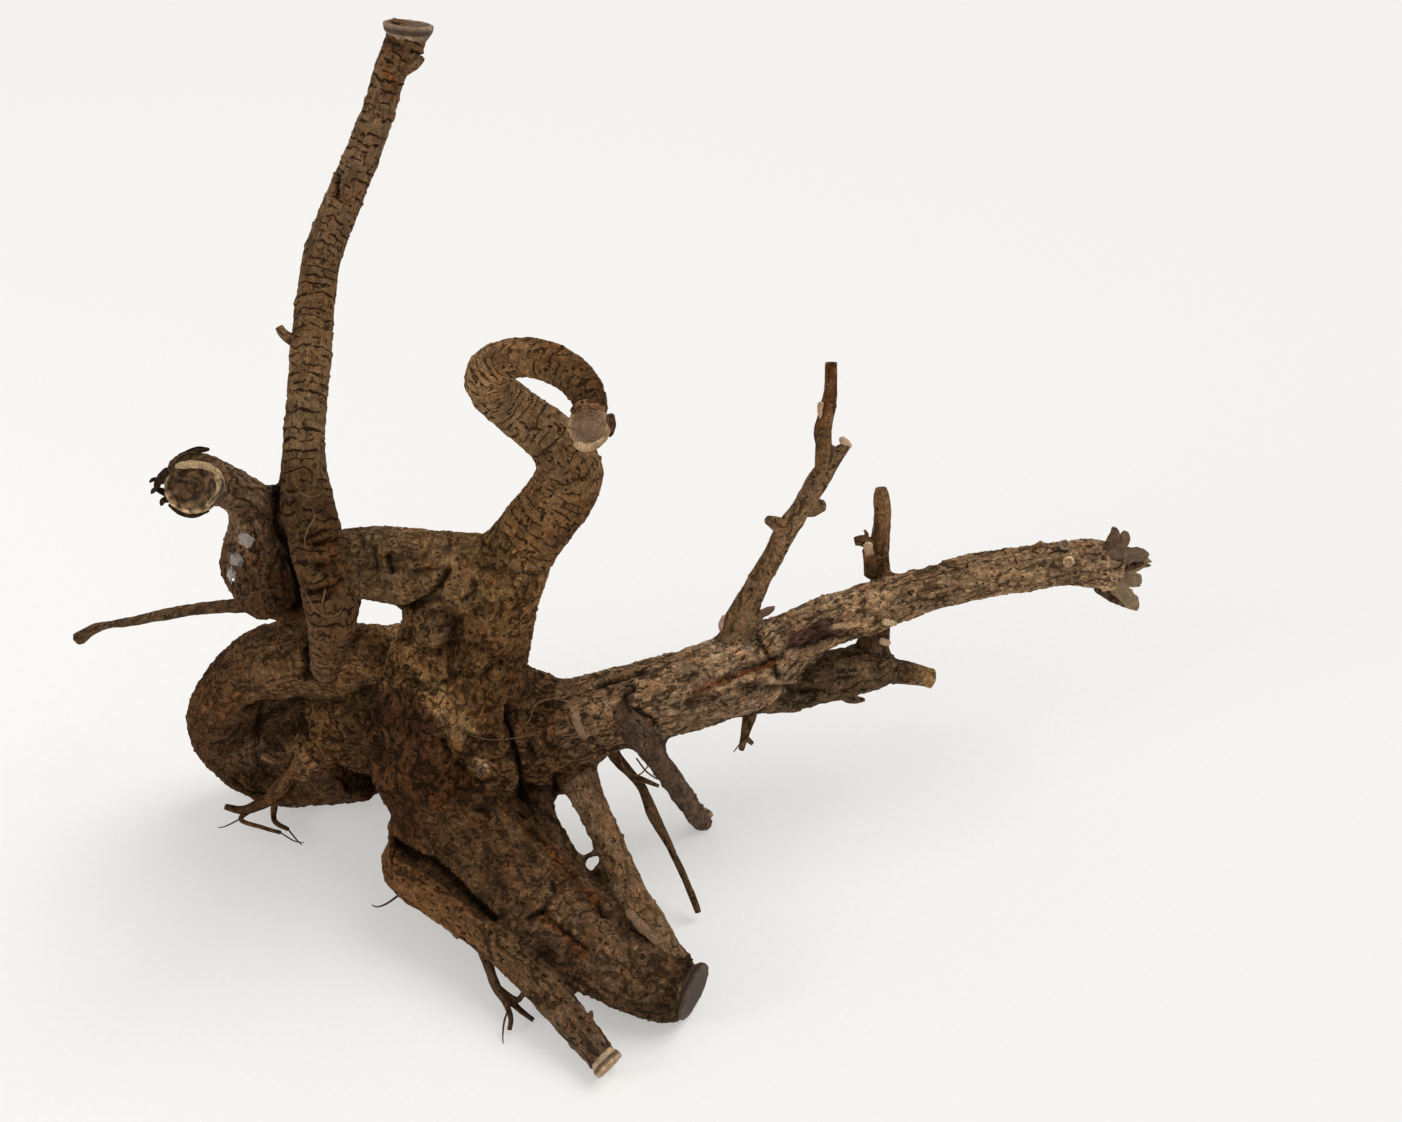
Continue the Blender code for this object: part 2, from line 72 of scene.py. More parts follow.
# A station is x, y, z and radius in millimetres, as in the model of the wood.
LIMBS = {
    "tall_stem": [
        (-84, -5, 96, 4.8), (-78, -12, 115, 6.8), (-75, -14, 130, 8.2), (-78.2, -8.5, 143, 8),
        (-79.7, -3, 152.5, 8.3), (-81.5, 2, 161, 7.9), (-82.5, 10, 171, 6.7), (-82.5, 22, 182, 6.4),
        (-82, 34, 193, 6.5), (-82, 47, 203.5, 6.2), (-80.5, 58, 214, 6.2), (-75, 68, 226, 6),
        (-68, 75, 239.5, 5.7),
        (-62, 79, 252, 5.6), (-57.5, 81, 263.5, 5.5), (-52.5, 82.5, 271.5, 6.1), (-50, 83, 277, 7),
    ],
    "horizontal_limb": [
        (-84, 14, 127, 9.7), (-69, 14, 126.5, 12.3), (-52, 10, 127, 12.8), (-35, 6, 128.5, 12.7),
        (-24, 3, 131, 12),
    ],
    "neck": [(-19, 3, 140, 11), (-25.5, 3, 120, 11.8), (-30.5, 3, 103.5, 13.2), (-37, 4, 86, 16),
        (-42, 5, 70, 20)],
    "web": [(-48.5, 10, 126, 10.9), (-47, 9, 112, 11.6), (-50.5, 9, 95.5, 13.5), (-54, 8, 78, 17)],
    "loop": [
        (-24, 3, 130.5, 11.4), (-18, 4, 140, 11.2), (-10.5, 5, 150, 10.9), (-4, 7, 158, 10.5),
        (-1.5, 8, 166, 10),
        (-5.2, 9, 173.8, 8.8), (-12.4, 10, 180.5, 7.9), (-19, 9, 187, 7.6), (-22.8, 7, 193, 7.3),
        (-23.5, 3, 199, 7),
        (-21.5, -1, 205, 6.4), (-15.8, -5, 209.6, 6), (-9.2, -9, 212.1, 5.8), (-1.2, -14, 212, 5.8),
        (4.4, -18, 210.3, 5.5), (7.5, -22, 207.6, 5.4), (8.4, -25.4, 205, 5.2), (8.2, -29.6, 204, 5.2),
    ],
    "coil": [
        (-106.6, -18, 177.2, 9), (-105.8, -12, 173.8, 7.8), (-103.6, -5, 168, 6.4), (-100, 1, 159.5, 7),
        (-99.5, 5, 149, 8.2), (-101, 6, 139, 11), (-101.5, 8, 128, 12.6), (-97, 10, 118.5, 10.4),
        (-89, 14, 111.5, 9), (-80, 18, 104, 10),
    ],
    "lobe_rim": [
        (-70, 16, 84, 13), (-84, 18, 82.5, 13), (-101.5, 24, 80, 13.8), (-122.5, 30, 65.5, 13.8),
        (-137, 34, 42.5, 13),
        (-136.5, 37, 21, 10.8), (-125, 37, 9.6, 9.8), (-108, 32, 15, 10.6), (-86, 22, 32, 14),
    ],
    "lobe_floor": [
        (-92, 33, 68, 14), (-106, 38, 58, 14), (-120, 41, 42, 13), (-121, 41, 28, 12), (-108, 34, 28, 13),
        (-98, 30, 34, 14), (-88, 30, 42, 15),
    ],
    "body": [(-88, 22, 52, 20), (-67, 16, 66, 22), (-48, 10, 67, 25), (-31, 8, 65, 21), (-14, 8, 60, 18)],
    "belly": [(-50, 8, 92, 17), (-50, 9, 68, 25), (-53, 6, 48, 24), (-54, 18, 24, 21)],
    "back_strand_low": [(-128, 42, 22, 9), (-104, 46, 27, 14), (-76, 44, 36, 18), (-48, 36, 42, 19),
        (-20, 22, 52, 14)],
    "back_strand_high": [
        (-116, 40, 62, 9), (-94, 41, 61, 13), (-70, 36, 65, 15.5), (-46, 24, 78, 14), (-28, 12, 100, 11),
    ],
    "back_strand_down": [(-70, 40, 60, 14), (-58, 42, 40, 16), (-46, 28, 22, 16), (-38, 6, 18, 14)],
    "foot": [
        (-53, 0, 39, 22.5), (-39, -14, 27.5, 22.6), (-24, -28, 20.5, 20.6), (-9.5, -39, 17, 18.3),
        (4.5, -49, 14.6, 15.7), (18, -57, 12.5, 13.8), (27, -61.5, 11.8, 12.8), (33.5, -63.5, 11.6, 11.2),
    ],
    "bark_flap": [
        (-22, -2, 39, 7), (-14.5, -12, 33.5, 4.4), (-6, -24, 28, 4), (3, -35, 24, 3.8), (13, -45, 20, 3.6),
    ],
    "front_leg": [
        (-50, -6, 30, 9), (-58, -13, 27, 8), (-64.5, -21, 26.5, 7.4), (-62, -27, 25, 7.1),
        (-50, -35, 23, 7.1),
        (-39, -43, 21, 6.7), (-28, -52, 19.5, 6.3), (-19, -60, 16.8, 6), (-10.5, -68, 13.5, 5.8),
        (-2, -76, 9.8, 5.6), (4.8, -83, 6.9, 5.3), (8.8, -87.5, 5.6, 5),
    ],
    "right_arm": [
        (-22, 8, 58, 18), (-7, 8, 63.5, 15.9), (6.5, 12, 65, 14.6), (24, 16, 68, 14.6), (41, 22, 69, 14.6),
        (57, 28, 72, 13.6), (68, 31, 80, 10.6), (80, 36, 84.5, 9.2), (98, 43, 87, 8.9), (120, 50, 90, 8.6),
        (142.5, 57, 92, 8.4), (165.5, 63, 91, 8.3), (181, 67, 89, 8.6), (190, 69, 86, 9.4),
    ],
    "lower_stub": [(52, 27, 64, 11), (64, 30, 61.5, 9.8), (77, 33, 61.5, 9.5), (91.5, 36, 63, 8.8),
        (104, 38, 62, 6.4)],
    "second_root": [
        (-6, 7, 52, 9), (-4.5, 2, 46, 7.4), (-1.5, -5, 41.5, 6), (2, -11, 38, 5.6), (6.5, -20, 34, 5.3),
        (11.5, -29, 29.5, 5.2), (16, -39, 25.5, 5.8), (21.5, -47, 22.5, 6.3), (27, -56, 19.5, 6.3),
        (31, -61, 16, 6.5),
    ],
}

# Ellipsoid lumps: centre x, y, z and half sizes x, y, z.
LUMPS = [
    (-57, -2, 70, 13, 12, 14),  # dark burl
    (-34, -4, 56, 12, 13, 14),
    (-100, -2, 128, 9, 9, 11),
    (-14, 6, 48, 11, 12, 11),  # under the arm's root
    (167, 60.5, 95.5, 8, 6.5, 6.6),  # collar before the torn end
    (-87, 11, 131, 4, 6, 12),  # behind the stem, against the bulb
]

# Furrows pressed into the skin: depth, half width, how dark it is from 0 to 1, and the route on the surface.
# The darkening is partly the dark colour of cracks and partly painted shade along creases and between parts.
FURROWS = [
    (3.2, 1.6, 0.9, [(-121, 17, 60), (-118, 17, 63), (-115, 17, 65), (-110, 17, 65), (-106, 19, 63),
        (-101, 16, 68)]),
    (1.6, 1, 0.8, [(-115, 17, 62), (-119, 23, 51), (-123, 28, 41)]),
    (1.1, 0.8, 0.7, [(-144, 23, 40), (-137, 20, 42), (-133, 21, 43), (-128, 20, 47), (-125, 20, 51)]),
    (2.4, 1.1, 0.85, [(-137, 26, 19), (-134, 27, 11), (-130, 28, 9), (-125, 27, 10), (-120, 27, 15),
        (-115, 24, 23)]),
    (2, 1.2, 0.8, [(-115, 24, 23), (-111, 21, 30), (-109, 22, 36)]),
    (2, 1.2, 0.8, [(-88, 3, 52), (-89, 8, 42), (-89, 12, 30)]),
    (2.4, 1.3, 0.95, [(-95, 14, 96), (-95, 12, 92), (-94.5, 9.5, 88), (-95, 9, 85), (-92, 5, 83)]),
    (2.4, 1.4, 0.95, [(-70.2, -11.6, 116.6), (-73.2, -13, 111.3), (-77.7, -10.5, 102.8), (-81, -4, 94),
        (-86, 3, 85)]),
    # Painted shade: a wide shadow line between the lobe and the burl.
    (2, 5, 0.45, [(-76, 0, 84), (-74, -2, 77), (-73, -4, 72), (-71, -7, 67), (-68, -9, 60)]),
    (1.4, 1.2, 0.5, [
        (-55, -4, 104), (-51, -4, 106), (-48, -3, 103), (-44, -3, 106), (-39, -7, 111), (-33, -10, 111),
        (-29, -10, 109), (-26, -9, 104), (-24, -8, 99)]),
    (1.2, 1, 0.55, [(-43, -7, 97), (-39, -8, 99), (-35, -8, 99), (-32, -8, 99), (-28, -9, 103),
        (-26, -9, 103)]),
    (1.2, 0.9, 0.7, [(-54, -6, 93), (-51, -8, 93), (-48, -7, 93), (-44, -7, 95)]),
    (2.4, 1.2, 0.9, [(-58, 5, 116), (-54, 3, 120), (-49, -1, 124), (-46, -1, 127), (-43, -3, 130),
        (-40, -2, 135)]),
    (1.4, 1, 0.8, [(-54, 3, 119), (-48, -1, 123), (-43, -3, 126)]),
    (2, 1.2, 0.8, [(-36, -5, 126), (-34, -7, 128), (-32, -7, 130), (-32, -7, 133), (-33, -6, 134)]),
    (0.9, 0.8, 0.6, [(-36, 0, 139), (-32, -3, 139), (-28, -5, 138), (-20, -7, 138), (-12, -5, 136)]),
    (2.4, 1.8, 0.9, [(-58, 2, 109), (-57, 1, 108)]),
    (1.2, 1, 0.9, [(-61, 4, 136), (-60, 2, 135), (-59, 0, 133)]),
    (0.8, 0.7, 0.7, [(-67, 13, 139), (-65, 7, 137), (-64, 3, 134), (-64, 1, 132)]),
    (0.8, 0.7, 0.7, [(-70, 13, 138), (-69, 10, 138), (-68, 7, 136)]),
    (0.8, 0.7, 0.6, [(-41, 8, 141), (-41, 5, 141), (-41, 2, 140)]),
    (0.8, 0.7, 0.6, [(-38, 8, 141), (-38, 4, 141)]),
    (0.9, 0.7, 0.6, [(-52, -1, 134), (-48, -2, 135), (-45, -2, 136), (-42, -2, 137)]),
    (0.9, 0.7, 0.5, [(-32, 9, 141), (-30, 2, 143), (-27, -2, 144)]),
    (1.8, 1.4, 0.8, [(-41, -13, 80), (-38, -13, 76), (-36, -13, 74)]),
    (1.4, 1, 0.65, [(-47, -14, 75), (-45, -15, 70), (-42, -15, 65), (-39, -15, 61), (-35, -17, 59),
        (-30, -15, 59)]),
    (1.2, 0.8, 0.6, [(-32, -13, 65), (-29, -12, 65), (-26, -9, 66), (-25, -7, 68)]),
    (1.4, 0.9, 0.8, [(-19, -10, 69), (-18, -10, 66), (-17, -10, 64)]),
    (1.2, 0.9, 0.7, [(-38, -20, 50), (-35, -20, 49), (-33, -21, 48)]),
    (3, 1.1, 0.95, [(-26, -5, 84), (-27, -5, 81), (-27, -5, 77), (-26, -6, 73), (-25, -7, 69),
        (-24, -8, 62)]),
    (2.4, 1, 0.9, [(-24, -8, 62), (-24, -8, 55), (-25, -5, 45), (-24, -8, 42), (-21, -7, 39),
        (-16, -14, 38)]),
    (2, 1.3, 0.9, [(-23, -16, 43), (-22, -16, 43)]),
    (2, 1.3, 0.9, [(-18, -12, 39), (-18, -13, 38)]),
    (2, 1.2, 0.9, [(-11, -7, 54), (-12, -7, 49), (-12, -4, 43)]),
    (3, 1.4, 0.95, [
        (-70, -18, 35), (-66, -21, 35), (-62, -24, 35), (-57, -27, 35), (-52, -31, 36), (-47, -34, 34),
        (-38, -40, 30), (-30, -47, 27)]),
    (1.3, 0.9, 0.8, [(-11, -40, 36), (-10, -43, 34), (-12, -47, 33), (-14, -49, 32), (-18, -49, 29)]),
    (1.2, 0.8, 0.85, [(-81, -12, 153), (-78, -12, 154), (-75, -11, 155)]),
    (1.8, 0.9, 0.95, [(-77, -13, 152), (-74, -13, 152), (-72, -11, 152), (-70, -9, 151)]),
    (1.6, 1.1, 0.95, [(-77, -15, 146), (-74, -15, 146), (-70, -13, 146)]),
    (1.1, 0.8, 0.8, [(-74, -17, 144), (-72, -16, 144), (-70, -15, 144)]),
    (1.8, 1, 0.95, [(-80, -18, 138), (-77, -19, 139), (-74, -19, 140), (-72, -19, 140), (-69, -15, 141)]),
    (1.1, 0.8, 0.85, [(-76, -20, 138), (-73, -20, 138)]),
    (2.4, 1.2, 0.95, [(-90.4, 2.6, 167), (-90.1, 1.1, 163), (-90.3, 0.7, 160), (-90.4, 0.3, 156),
        (-91, 2.2, 150)]),
    (2, 2.4, 0.95, [(-91, 2.2, 150), (-90.7, 4.4, 140), (-90.4, 6.9, 134), (-89.1, 5.2, 124),
        (-89.1, 4, 120), (-90.4, 2, 117)]),
    (1.6, 1.4, 0.9, [(-90.4, 2, 117), (-94.4, -0.8, 117.4), (-98, 0, 116)]),
    (0.8, 0.7, 0.6, [(-92, 0, 141), (-94, -2, 138), (-96, -6, 134)]),
    (0.8, 0.7, 0.6, [(-92, 0, 140), (-92, 0, 136), (-93, -3, 130)]),
    (0.8, 0.7, 0.6, [(-91, 1, 140), (-91, 3, 134), (-91, 4, 129)]),
    (0.9, 1.3, 0.6, [(-100, -3, 154), (-98, -4, 155), (-95, -3, 156), (-93, -1, 154)]),
    (1.8, 1, 0.95, [(4, 10, 80), (8, 11, 80), (13, 12, 81), (18, 14, 82)]),
    (1.7, 0.8, 0.95, [(12, 9, 80), (15, 9, 80), (16, 7, 79), (13, 6, 79), (12, 4, 78), (13, 3, 76)]),
    (1.9, 0.9, 0.95, [(13, 2, 75), (17, 2, 74), (21, 1, 72), (22, 1, 70)]),
    (1.3, 0.8, 0.9, [(57, 29, 86), (58, 25, 86), (60, 22, 84), (62, 20, 82)]),
    (1.4, 0.9, 0.9, [(63, 20, 81), (64, 18, 77), (66, 18, 75)]),
    # Painted shade: a shadow line along the arm, under its lit upper side.
    (1.8, 1.6, 0.6, [(51, 13, 76), (57, 14, 74), (64, 17, 71), (71, 22, 66), (78, 24, 63)]),
    (1.4, 1, 0.9, [(98, 38, 71), (100, 37, 71), (103, 38, 70)]),
    (1.3, 1.6, 0.85, [(45.2, 11.2, 79.5), (53.1, 15.2, 80.8), (61.8, 18.7, 81)]),
    (1.3, 0.9, 0.95, [(68, 22, 84.6), (76, 24.6, 84.6), (84, 28, 84.8)]),
    (1.4, 1, 0.95, [(-75.4, 68.1, 235.4), (-75.2, 66, 233), (-75, 64.4, 230.7)]),
    (2.2, 1.1, 0.95, [(-15, -22, 38.5), (-11.5, -26, 38), (-3.9, -34, 34), (4, -43, 31), (6.4, -48.6, 30.3)]),
    (1.6, 0.9, 0.9, [(-13.4, -48, 31), (-6.4, -53, 27.4), (1, -58, 24.6)]),
    (2.4, 2.4, 0.6, [(-70, 56, 52), (-60, 58, 38), (-46, 46, 22)]),
    (2.4, 2.4, 0.6, [(-104, 58, 44), (-84, 60, 54), (-60, 50, 62), (-36, 36, 72)]),
    (1.6, 1.6, 0.6, [(-8, 30, 72), (10, 32, 78), (34, 40, 78), (58, 46, 80)]),
    (1.4, 1.4, 0.6, [(84, 52, 92), (104, 60, 92), (130, 64, 96)]),
]
# Ridges raised from the skin: height, half width and the route on the surface.
RIDGES = [
    (1.4, 3.4, [(-62, -9, 89), (-55, -9, 92), (-48, -11, 87), (-46, -13, 80)]),
    (1.6, 2.6, [(-58, -10, 82), (-52, -13, 84), (-49, -14, 79), (-51, -15, 74), (-57, -13, 73)]),
    (1.8, 1.8, [(-49.5, -15, 72.5), (-49, -15, 72)]),
    (1.5, 1, [(-55, -11, 84), (-58.7, -11.7, 78)]),
    (1.6, 1.3, [(-58.5, -10, 82), (-57.5, -10.4, 81)]),
    (1.6, 3.4, [(-58, 0, 100), (-49, -3, 108), (-37, -5, 113), (-26, -8, 111)]),
    (1.2, 2, [(-52, -5, 97), (-44, -7, 101), (-34, -8, 104), (-27, -9, 106)]),
    (2.4, 3.6, [(-53, -19, 53), (-39, -29, 45), (-28, -37, 39), (-15, -45, 33)]),
    (2, 2.4, [(-115, 22, 26), (-110, 22, 37), (-107, 23, 43), (-104, 22, 49), (-99, 13, 60)]),
    (1.2, 1.2, [(-41, -12, 82), (-38, -13, 79), (-35, -13, 77)]),
    (1.4, 1.6, [(-43, -14, 76), (-40, -15, 71), (-38, -16, 67)]),
    (1.2, 1.4, [(172, 57, 104), (175, 57, 102), (177, 59, 99), (175, 58, 96)]),
    (0.9, 1.2, [(140, 51, 97), (142, 53, 99), (146, 55, 99)]),
    (0.9, 1, [(-129, 24, 40), (-127, 27, 35), (-127, 28, 29), (-123, 28, 27)]),
]

# Twigs, thorns and rootlets: stations as for the limbs.
TWIGS = {
    "left_twig": [
        (-92, 22, 104, 5), (-101, 24, 101, 3.2), (-117, 30, 97.5, 2.8), (-139.5, 42, 87, 2.4),
        (-159, 52, 76.5, 2.2),
        (-174.5, 60, 67.5, 1.9), (-184, 65, 62.5, 1.6), (-193, 69, 57.5, 2), (-201.5, 71, 51, 2.8),
    ],
    "stub_end": [(98, 37, 62.5, 5), (106, 39, 61, 5), (114, 40.5, 58.5, 4.6), (122.5, 42, 55.5, 4.2)],
    "arm_post": [
        (100.5, 42, 61, 6.2), (100.5, 43, 71, 6), (103, 56, 76, 4.8), (103.5, 60, 86.5, 4.2),
        (102.5, 61, 99, 3.7),
        (102.5, 63, 111, 3.3), (102, 64, 119, 3.2), (101.5, 65, 123, 2.2),
    ],
    "arm_post_hook": [(102, 61.5, 99.5, 2.8), (98.5, 60.5, 102.5, 2.3), (95.5, 60, 104, 2),
        (93, 60, 103.6, 1.5)],
    "arm_post_curl": [(96, 60, 104, 1.3), (97.2, 60, 106.5, 0.8), (96.2, 60, 108.4, 0.45)],
    "arm_post_stub": [(100, 59, 90, 2.8), (98.8, 58.6, 97, 2.5), (97.9, 58.6, 101, 2.2)],
    "tall_twig": [
        (50, 29, 80, 6.5), (50.5, 32, 86, 6), (54.5, 36, 94.5, 4.9), (59, 39, 103, 4.4), (63, 41, 111, 4.2),
        (67.5, 43, 120.5, 4), (73.5, 46, 129.5, 3.8), (79, 48, 139, 3.7), (83.5, 50, 145, 3),
        (87, 52, 148, 1.8),
    ],
    "tall_twig_tip": [
        (79, 48, 138, 3), (79, 49, 149, 3.1), (78.5, 50, 155, 3.3), (80, 52, 162.5, 2.9),
        (80.5, 53, 170.5, 2.3),
        (80.5, 55, 177.5, 2.2),
    ],
    "tall_twig_nub": [(68, 43, 120, 3), (64, 42, 123, 2.5), (60.5, 41, 125.5, 1.6)],
    "tall_twig_knot": [(73, 46, 127, 3), (76.5, 46, 127.5, 3), (80, 45, 128.5, 1.8)],
    "third_root": [
        (8, 8, 72, 6), (15, 1, 69, 5), (18.5, 0, 62, 4.7), (22.5, 2.5, 52, 4.4), (28.5, 8.5, 35, 4.3),
        (33.5, 15, 17.5, 4.2), (38, 21.5, 2.5, 4.1), (39, 23, 0.5, 4),
    ],
    "thin_root": [
        (7, 6, 58, 3), (8, 3, 53, 2.2), (17, -2, 43.5, 1.6), (21.5, -8, 35, 2.1), (27, -14, 26.5, 1.3),
        (34, -21, 12, 1.3), (37, -24, 4, 1.1),
    ],
    "thin_root_side": [(14, -1, 47, 1.2), (19, -3, 46.5, 0.9), (23.5, -4, 45, 0.6)],
    "stem_thorn": [(-82, 36, 192, 3), (-88.5, 33, 197.5, 1.7), (-90.5, 33, 201, 1.2)],
    "stem_spur": [(-53, 80, 265, 2.4), (-49, 79, 266.5, 1.5), (-46.5, 79, 268.5, 0.8)],
    "leg_rootlet": [
        (-37, -45, 20, 3), (-35, -48, 17.5, 2.3), (-33, -53, 15.5, 1.9), (-30, -59, 10.5, 1.6),
        (-27, -63, 7.5, 1.4),
        (-24, -66, 6.8, 1.1),
    ],
    "leg_rootlet_left": [(-27.5, -62, 8, 1.2), (-24, -68, 4, 0.9), (-24, -72, 2.2, 0.7)],
    "leg_rootlet_right": [(-28.5, -60.5, 8.5, 1.2), (-22, -64, 6.8, 1), (-19, -60, 9.5, 0.7)],
    "leg_rootlet_low": [(-24, -64.5, 6.8, 1.1), (-20, -67, 4.5, 0.9), (-16.5, -69, 3.2, 0.7)],
    "leg_thorn": [(-40, -40, 18, 2.4), (-42.5, -42, 15.5, 1.8), (-44.5, -44, 14, 1.1)],
    "leg_spike": [(-0.5, -77, 9.5, 2.6), (3, -78, 16, 1.1), (3.5, -78, 18.8, 0.7)],
    "lobe_rootlet": [
        (-106, 23, 40, 1.6), (-108.6, 21.4, 33, 2.2), (-115, 24.6, 22, 2.7), (-121, 26, 13.4, 2.9),
        (-125.5, 24.5, 9.6, 2.4),
        (-132.5, 20, 9.8, 1.7), (-138, 18, 13.5, 1.1),
    ],
    "lobe_rootlet_low": [
        (-126, 25, 9, 1.4), (-133, 17, 8.4, 0.9), (-124, 13, 7.8, 0.8), (-117, 11, 7.2, 0.7),
    ],
    "lobe_rootlet_curl": [(-122, 26, 9.5, 1.5), (-121.5, 19, 5.6, 1), (-115.5, 15, 4.9, 0.7)],
    "arm_spur": [(56, 27, 57, 3.4), (55.5, 26, 51.5, 2.6), (54, 22, 46.5, 1.7), (52.5, 20, 40, 1)],
    "arm_spur_side": [(53.5, 21.5, 45, 1.3), (56.5, 21, 42, 0.8)],
}
# Round knots grown into the skin: centre x, y, z and radius.
KNOTS = [
    (170, 60, 99.5, 3.4), (159.5, 59, 102, 3), (180, 66, 98, 3), (188, 62, 84, 2.4), (109, 42, 83, 2.6),
    (9, -62, 18, 4), (-36, -16, 61, 2.6),
]
# Twigs thick enough to grow together with the limbs in the skin.
THICK_TWIGS = ("third_root", "tall_twig", "tall_twig_tip", "arm_post", "stub_end", "left_twig")

# Colours of the wood along each limb from its first station to its last, as linear red, green and blue.
TONES = {
    "tall_stem": [
        (0.092, 0.05, 0.022), (0.075, 0.039, 0.017), (0.058, 0.031, 0.013), (0.13, 0.078, 0.038),
        (0.09, 0.049, 0.022), (0.1, 0.06, 0.03), (0.14, 0.08, 0.042), (0.11, 0.058, 0.025),
    ],
    "horizontal_limb": [(0.08, 0.05, 0.026), (0.155, 0.092, 0.044), (0.16, 0.09, 0.037)],
    "neck": [(0.14, 0.076, 0.031), (0.07, 0.036, 0.014), (0.09, 0.044, 0.017)],
    "web": [(0.135, 0.078, 0.037), (0.13, 0.068, 0.027)],
    "loop": [
        (0.138, 0.073, 0.032), (0.115, 0.062, 0.025), (0.11, 0.062, 0.028), (0.14, 0.083, 0.04),
        (0.175, 0.098, 0.046), (0.1, 0.053, 0.022), (0.045, 0.022, 0.009),
    ],
    "coil": [
        (0.1, 0.056, 0.028), (0.1, 0.062, 0.034), (0.085, 0.05, 0.027), (0.05, 0.024, 0.011),
        (0.05, 0.025, 0.01), (0.06, 0.03, 0.014),
    ],
    "lobe_rim": [(0.105, 0.056, 0.024), (0.048, 0.025, 0.011), (0.05, 0.026, 0.011), (0.04, 0.019, 0.008)],
    "lobe_floor": [(0.09, 0.048, 0.021)],
    "body": [(0.062, 0.03, 0.011), (0.075, 0.039, 0.017)],
    "belly": [(0.15, 0.08, 0.033), (0.058, 0.025, 0.009), (0.05, 0.022, 0.009)],
    "back_strand_low": [(0.08, 0.041, 0.016)],
    "back_strand_high": [(0.12, 0.068, 0.03)],
    "back_strand_down": [(0.059, 0.028, 0.011)],
    "foot": [(0.05, 0.024, 0.01), (0.062, 0.033, 0.015), (0.08, 0.046, 0.024), (0.05, 0.029, 0.014)],
    "bark_flap": [(0.09, 0.048, 0.022), (0.066, 0.038, 0.021)],
    "front_leg": [(0.065, 0.029, 0.011), (0.1, 0.047, 0.018), (0.072, 0.041, 0.02), (0.08, 0.049, 0.029)],
    "right_arm": [
        (0.074, 0.041, 0.02), (0.135, 0.084, 0.045), (0.21, 0.135, 0.078), (0.19, 0.12, 0.066),
        (0.175, 0.108, 0.058), (0.178, 0.112, 0.06), (0.19, 0.119, 0.068),
    ],
    "lower_stub": [(0.076, 0.05, 0.027), (0.069, 0.042, 0.022)],
    "second_root": [(0.13, 0.08, 0.044), (0.1, 0.058, 0.029), (0.135, 0.083, 0.043)],
    "third_root": [(0.05, 0.031, 0.02), (0.075, 0.049, 0.033), (0.08, 0.05, 0.033)],
    "tall_twig": [(0.109, 0.065, 0.032), (0.155, 0.092, 0.047), (0.13, 0.08, 0.043)],
    "tall_twig_tip": [(0.128, 0.073, 0.035), (0.084, 0.034, 0.012)],
    "arm_post": [(0.05, 0.032, 0.017), (0.15, 0.08, 0.035)],
    "stub_end": [
        (0.055, 0.032, 0.016), (0.07, 0.044, 0.023), (0.065, 0.038, 0.02), (0.13, 0.08, 0.037),
        (0.215, 0.125, 0.057)],
    "left_twig": [(0.02, 0.009, 0.0035), (0.068, 0.04, 0.019), (0.065, 0.037, 0.019)],
    "thin_root": [(0.06, 0.033, 0.017)],
    "leg_rootlet": [(0.06, 0.033, 0.017)],
    "lobe_rootlet": [(0.085, 0.045, 0.02), (0.06, 0.03, 0.014)],
    "other": [(0.095, 0.055, 0.028)],
}

# How strongly each limb shows rings, plates, lengthwise grain, swirled ridges, dark pores and lumps, from
# 0 to 1.
MARKS = {
    "tall_stem": (1, 0.3, 0.5, 0, 0.7, 0.25),
    "horizontal_limb": (0.4, 0.2, 0.3, 0.7, 0.9, 0.6),
    "neck": (0.2, 0.2, 0.3, 0.9, 0.3, 0.8),
    "web": (0.2, 0.2, 0.3, 0.9, 0.2, 0.8),
    "loop": (0.9, 0, 0.5, 0.35, 1, 0.3),
    "coil": (0.2, 0.1, 1, 0.2, 0.8, 0.5),
    "lobe_rim": (0.1, 0.1, 0.9, 0.6, 0.4, 0.7),
    "lobe_floor": (0.1, 0.1, 1, 0.6, 0.2, 1),
    "body": (0, 0.3, 0.3, 1, 0.1, 1),
    "belly": (0, 0.2, 0.3, 1, 0, 1),
    "back_strand_low": (0, 0.3, 0.8, 0.6, 0, 1),
    "back_strand_high": (0, 0.3, 0.8, 0.6, 0, 1),
    "back_strand_down": (0, 0.3, 0.8, 0.6, 0, 1),
    "foot": (0.1, 0.3, 0.5, 0.8, 0.2, 0.9),
    "bark_flap": (0.1, 0.4, 0.8, 0.3, 0.1, 1),
    "front_leg": (0.15, 0.1, 0.9, 0.1, 1, 0.4),
    "right_arm": (0.1, 0.6, 1, 0.35, 0.9, 0.8),
    "lower_stub": (0.1, 0.5, 1, 0.2, 0.8, 0.9),
    "second_root": (0.2, 0.5, 0.7, 0.1, 0.5, 0.5),
    "third_root": (0.3, 0.4, 0.6, 0, 0.5, 0.5),
    "other": (0.35, 0.3, 0.8, 0, 0.4, 0.4),
}
NO_MARKS = (0, 0, 0, 0, 0, 0)
BLADE_MARKS = (0.3, 0, 1, 0, 0.2, 0)
FIBRE_MARKS = (0.2, 0, 0.5, 0, 0, 0)

# Wet, shiny places: centre and reach.
WET = [(-101, -3, 147, 3.6), (-105, -3, 140, 3.6), (-107, -3, 134, 4)]
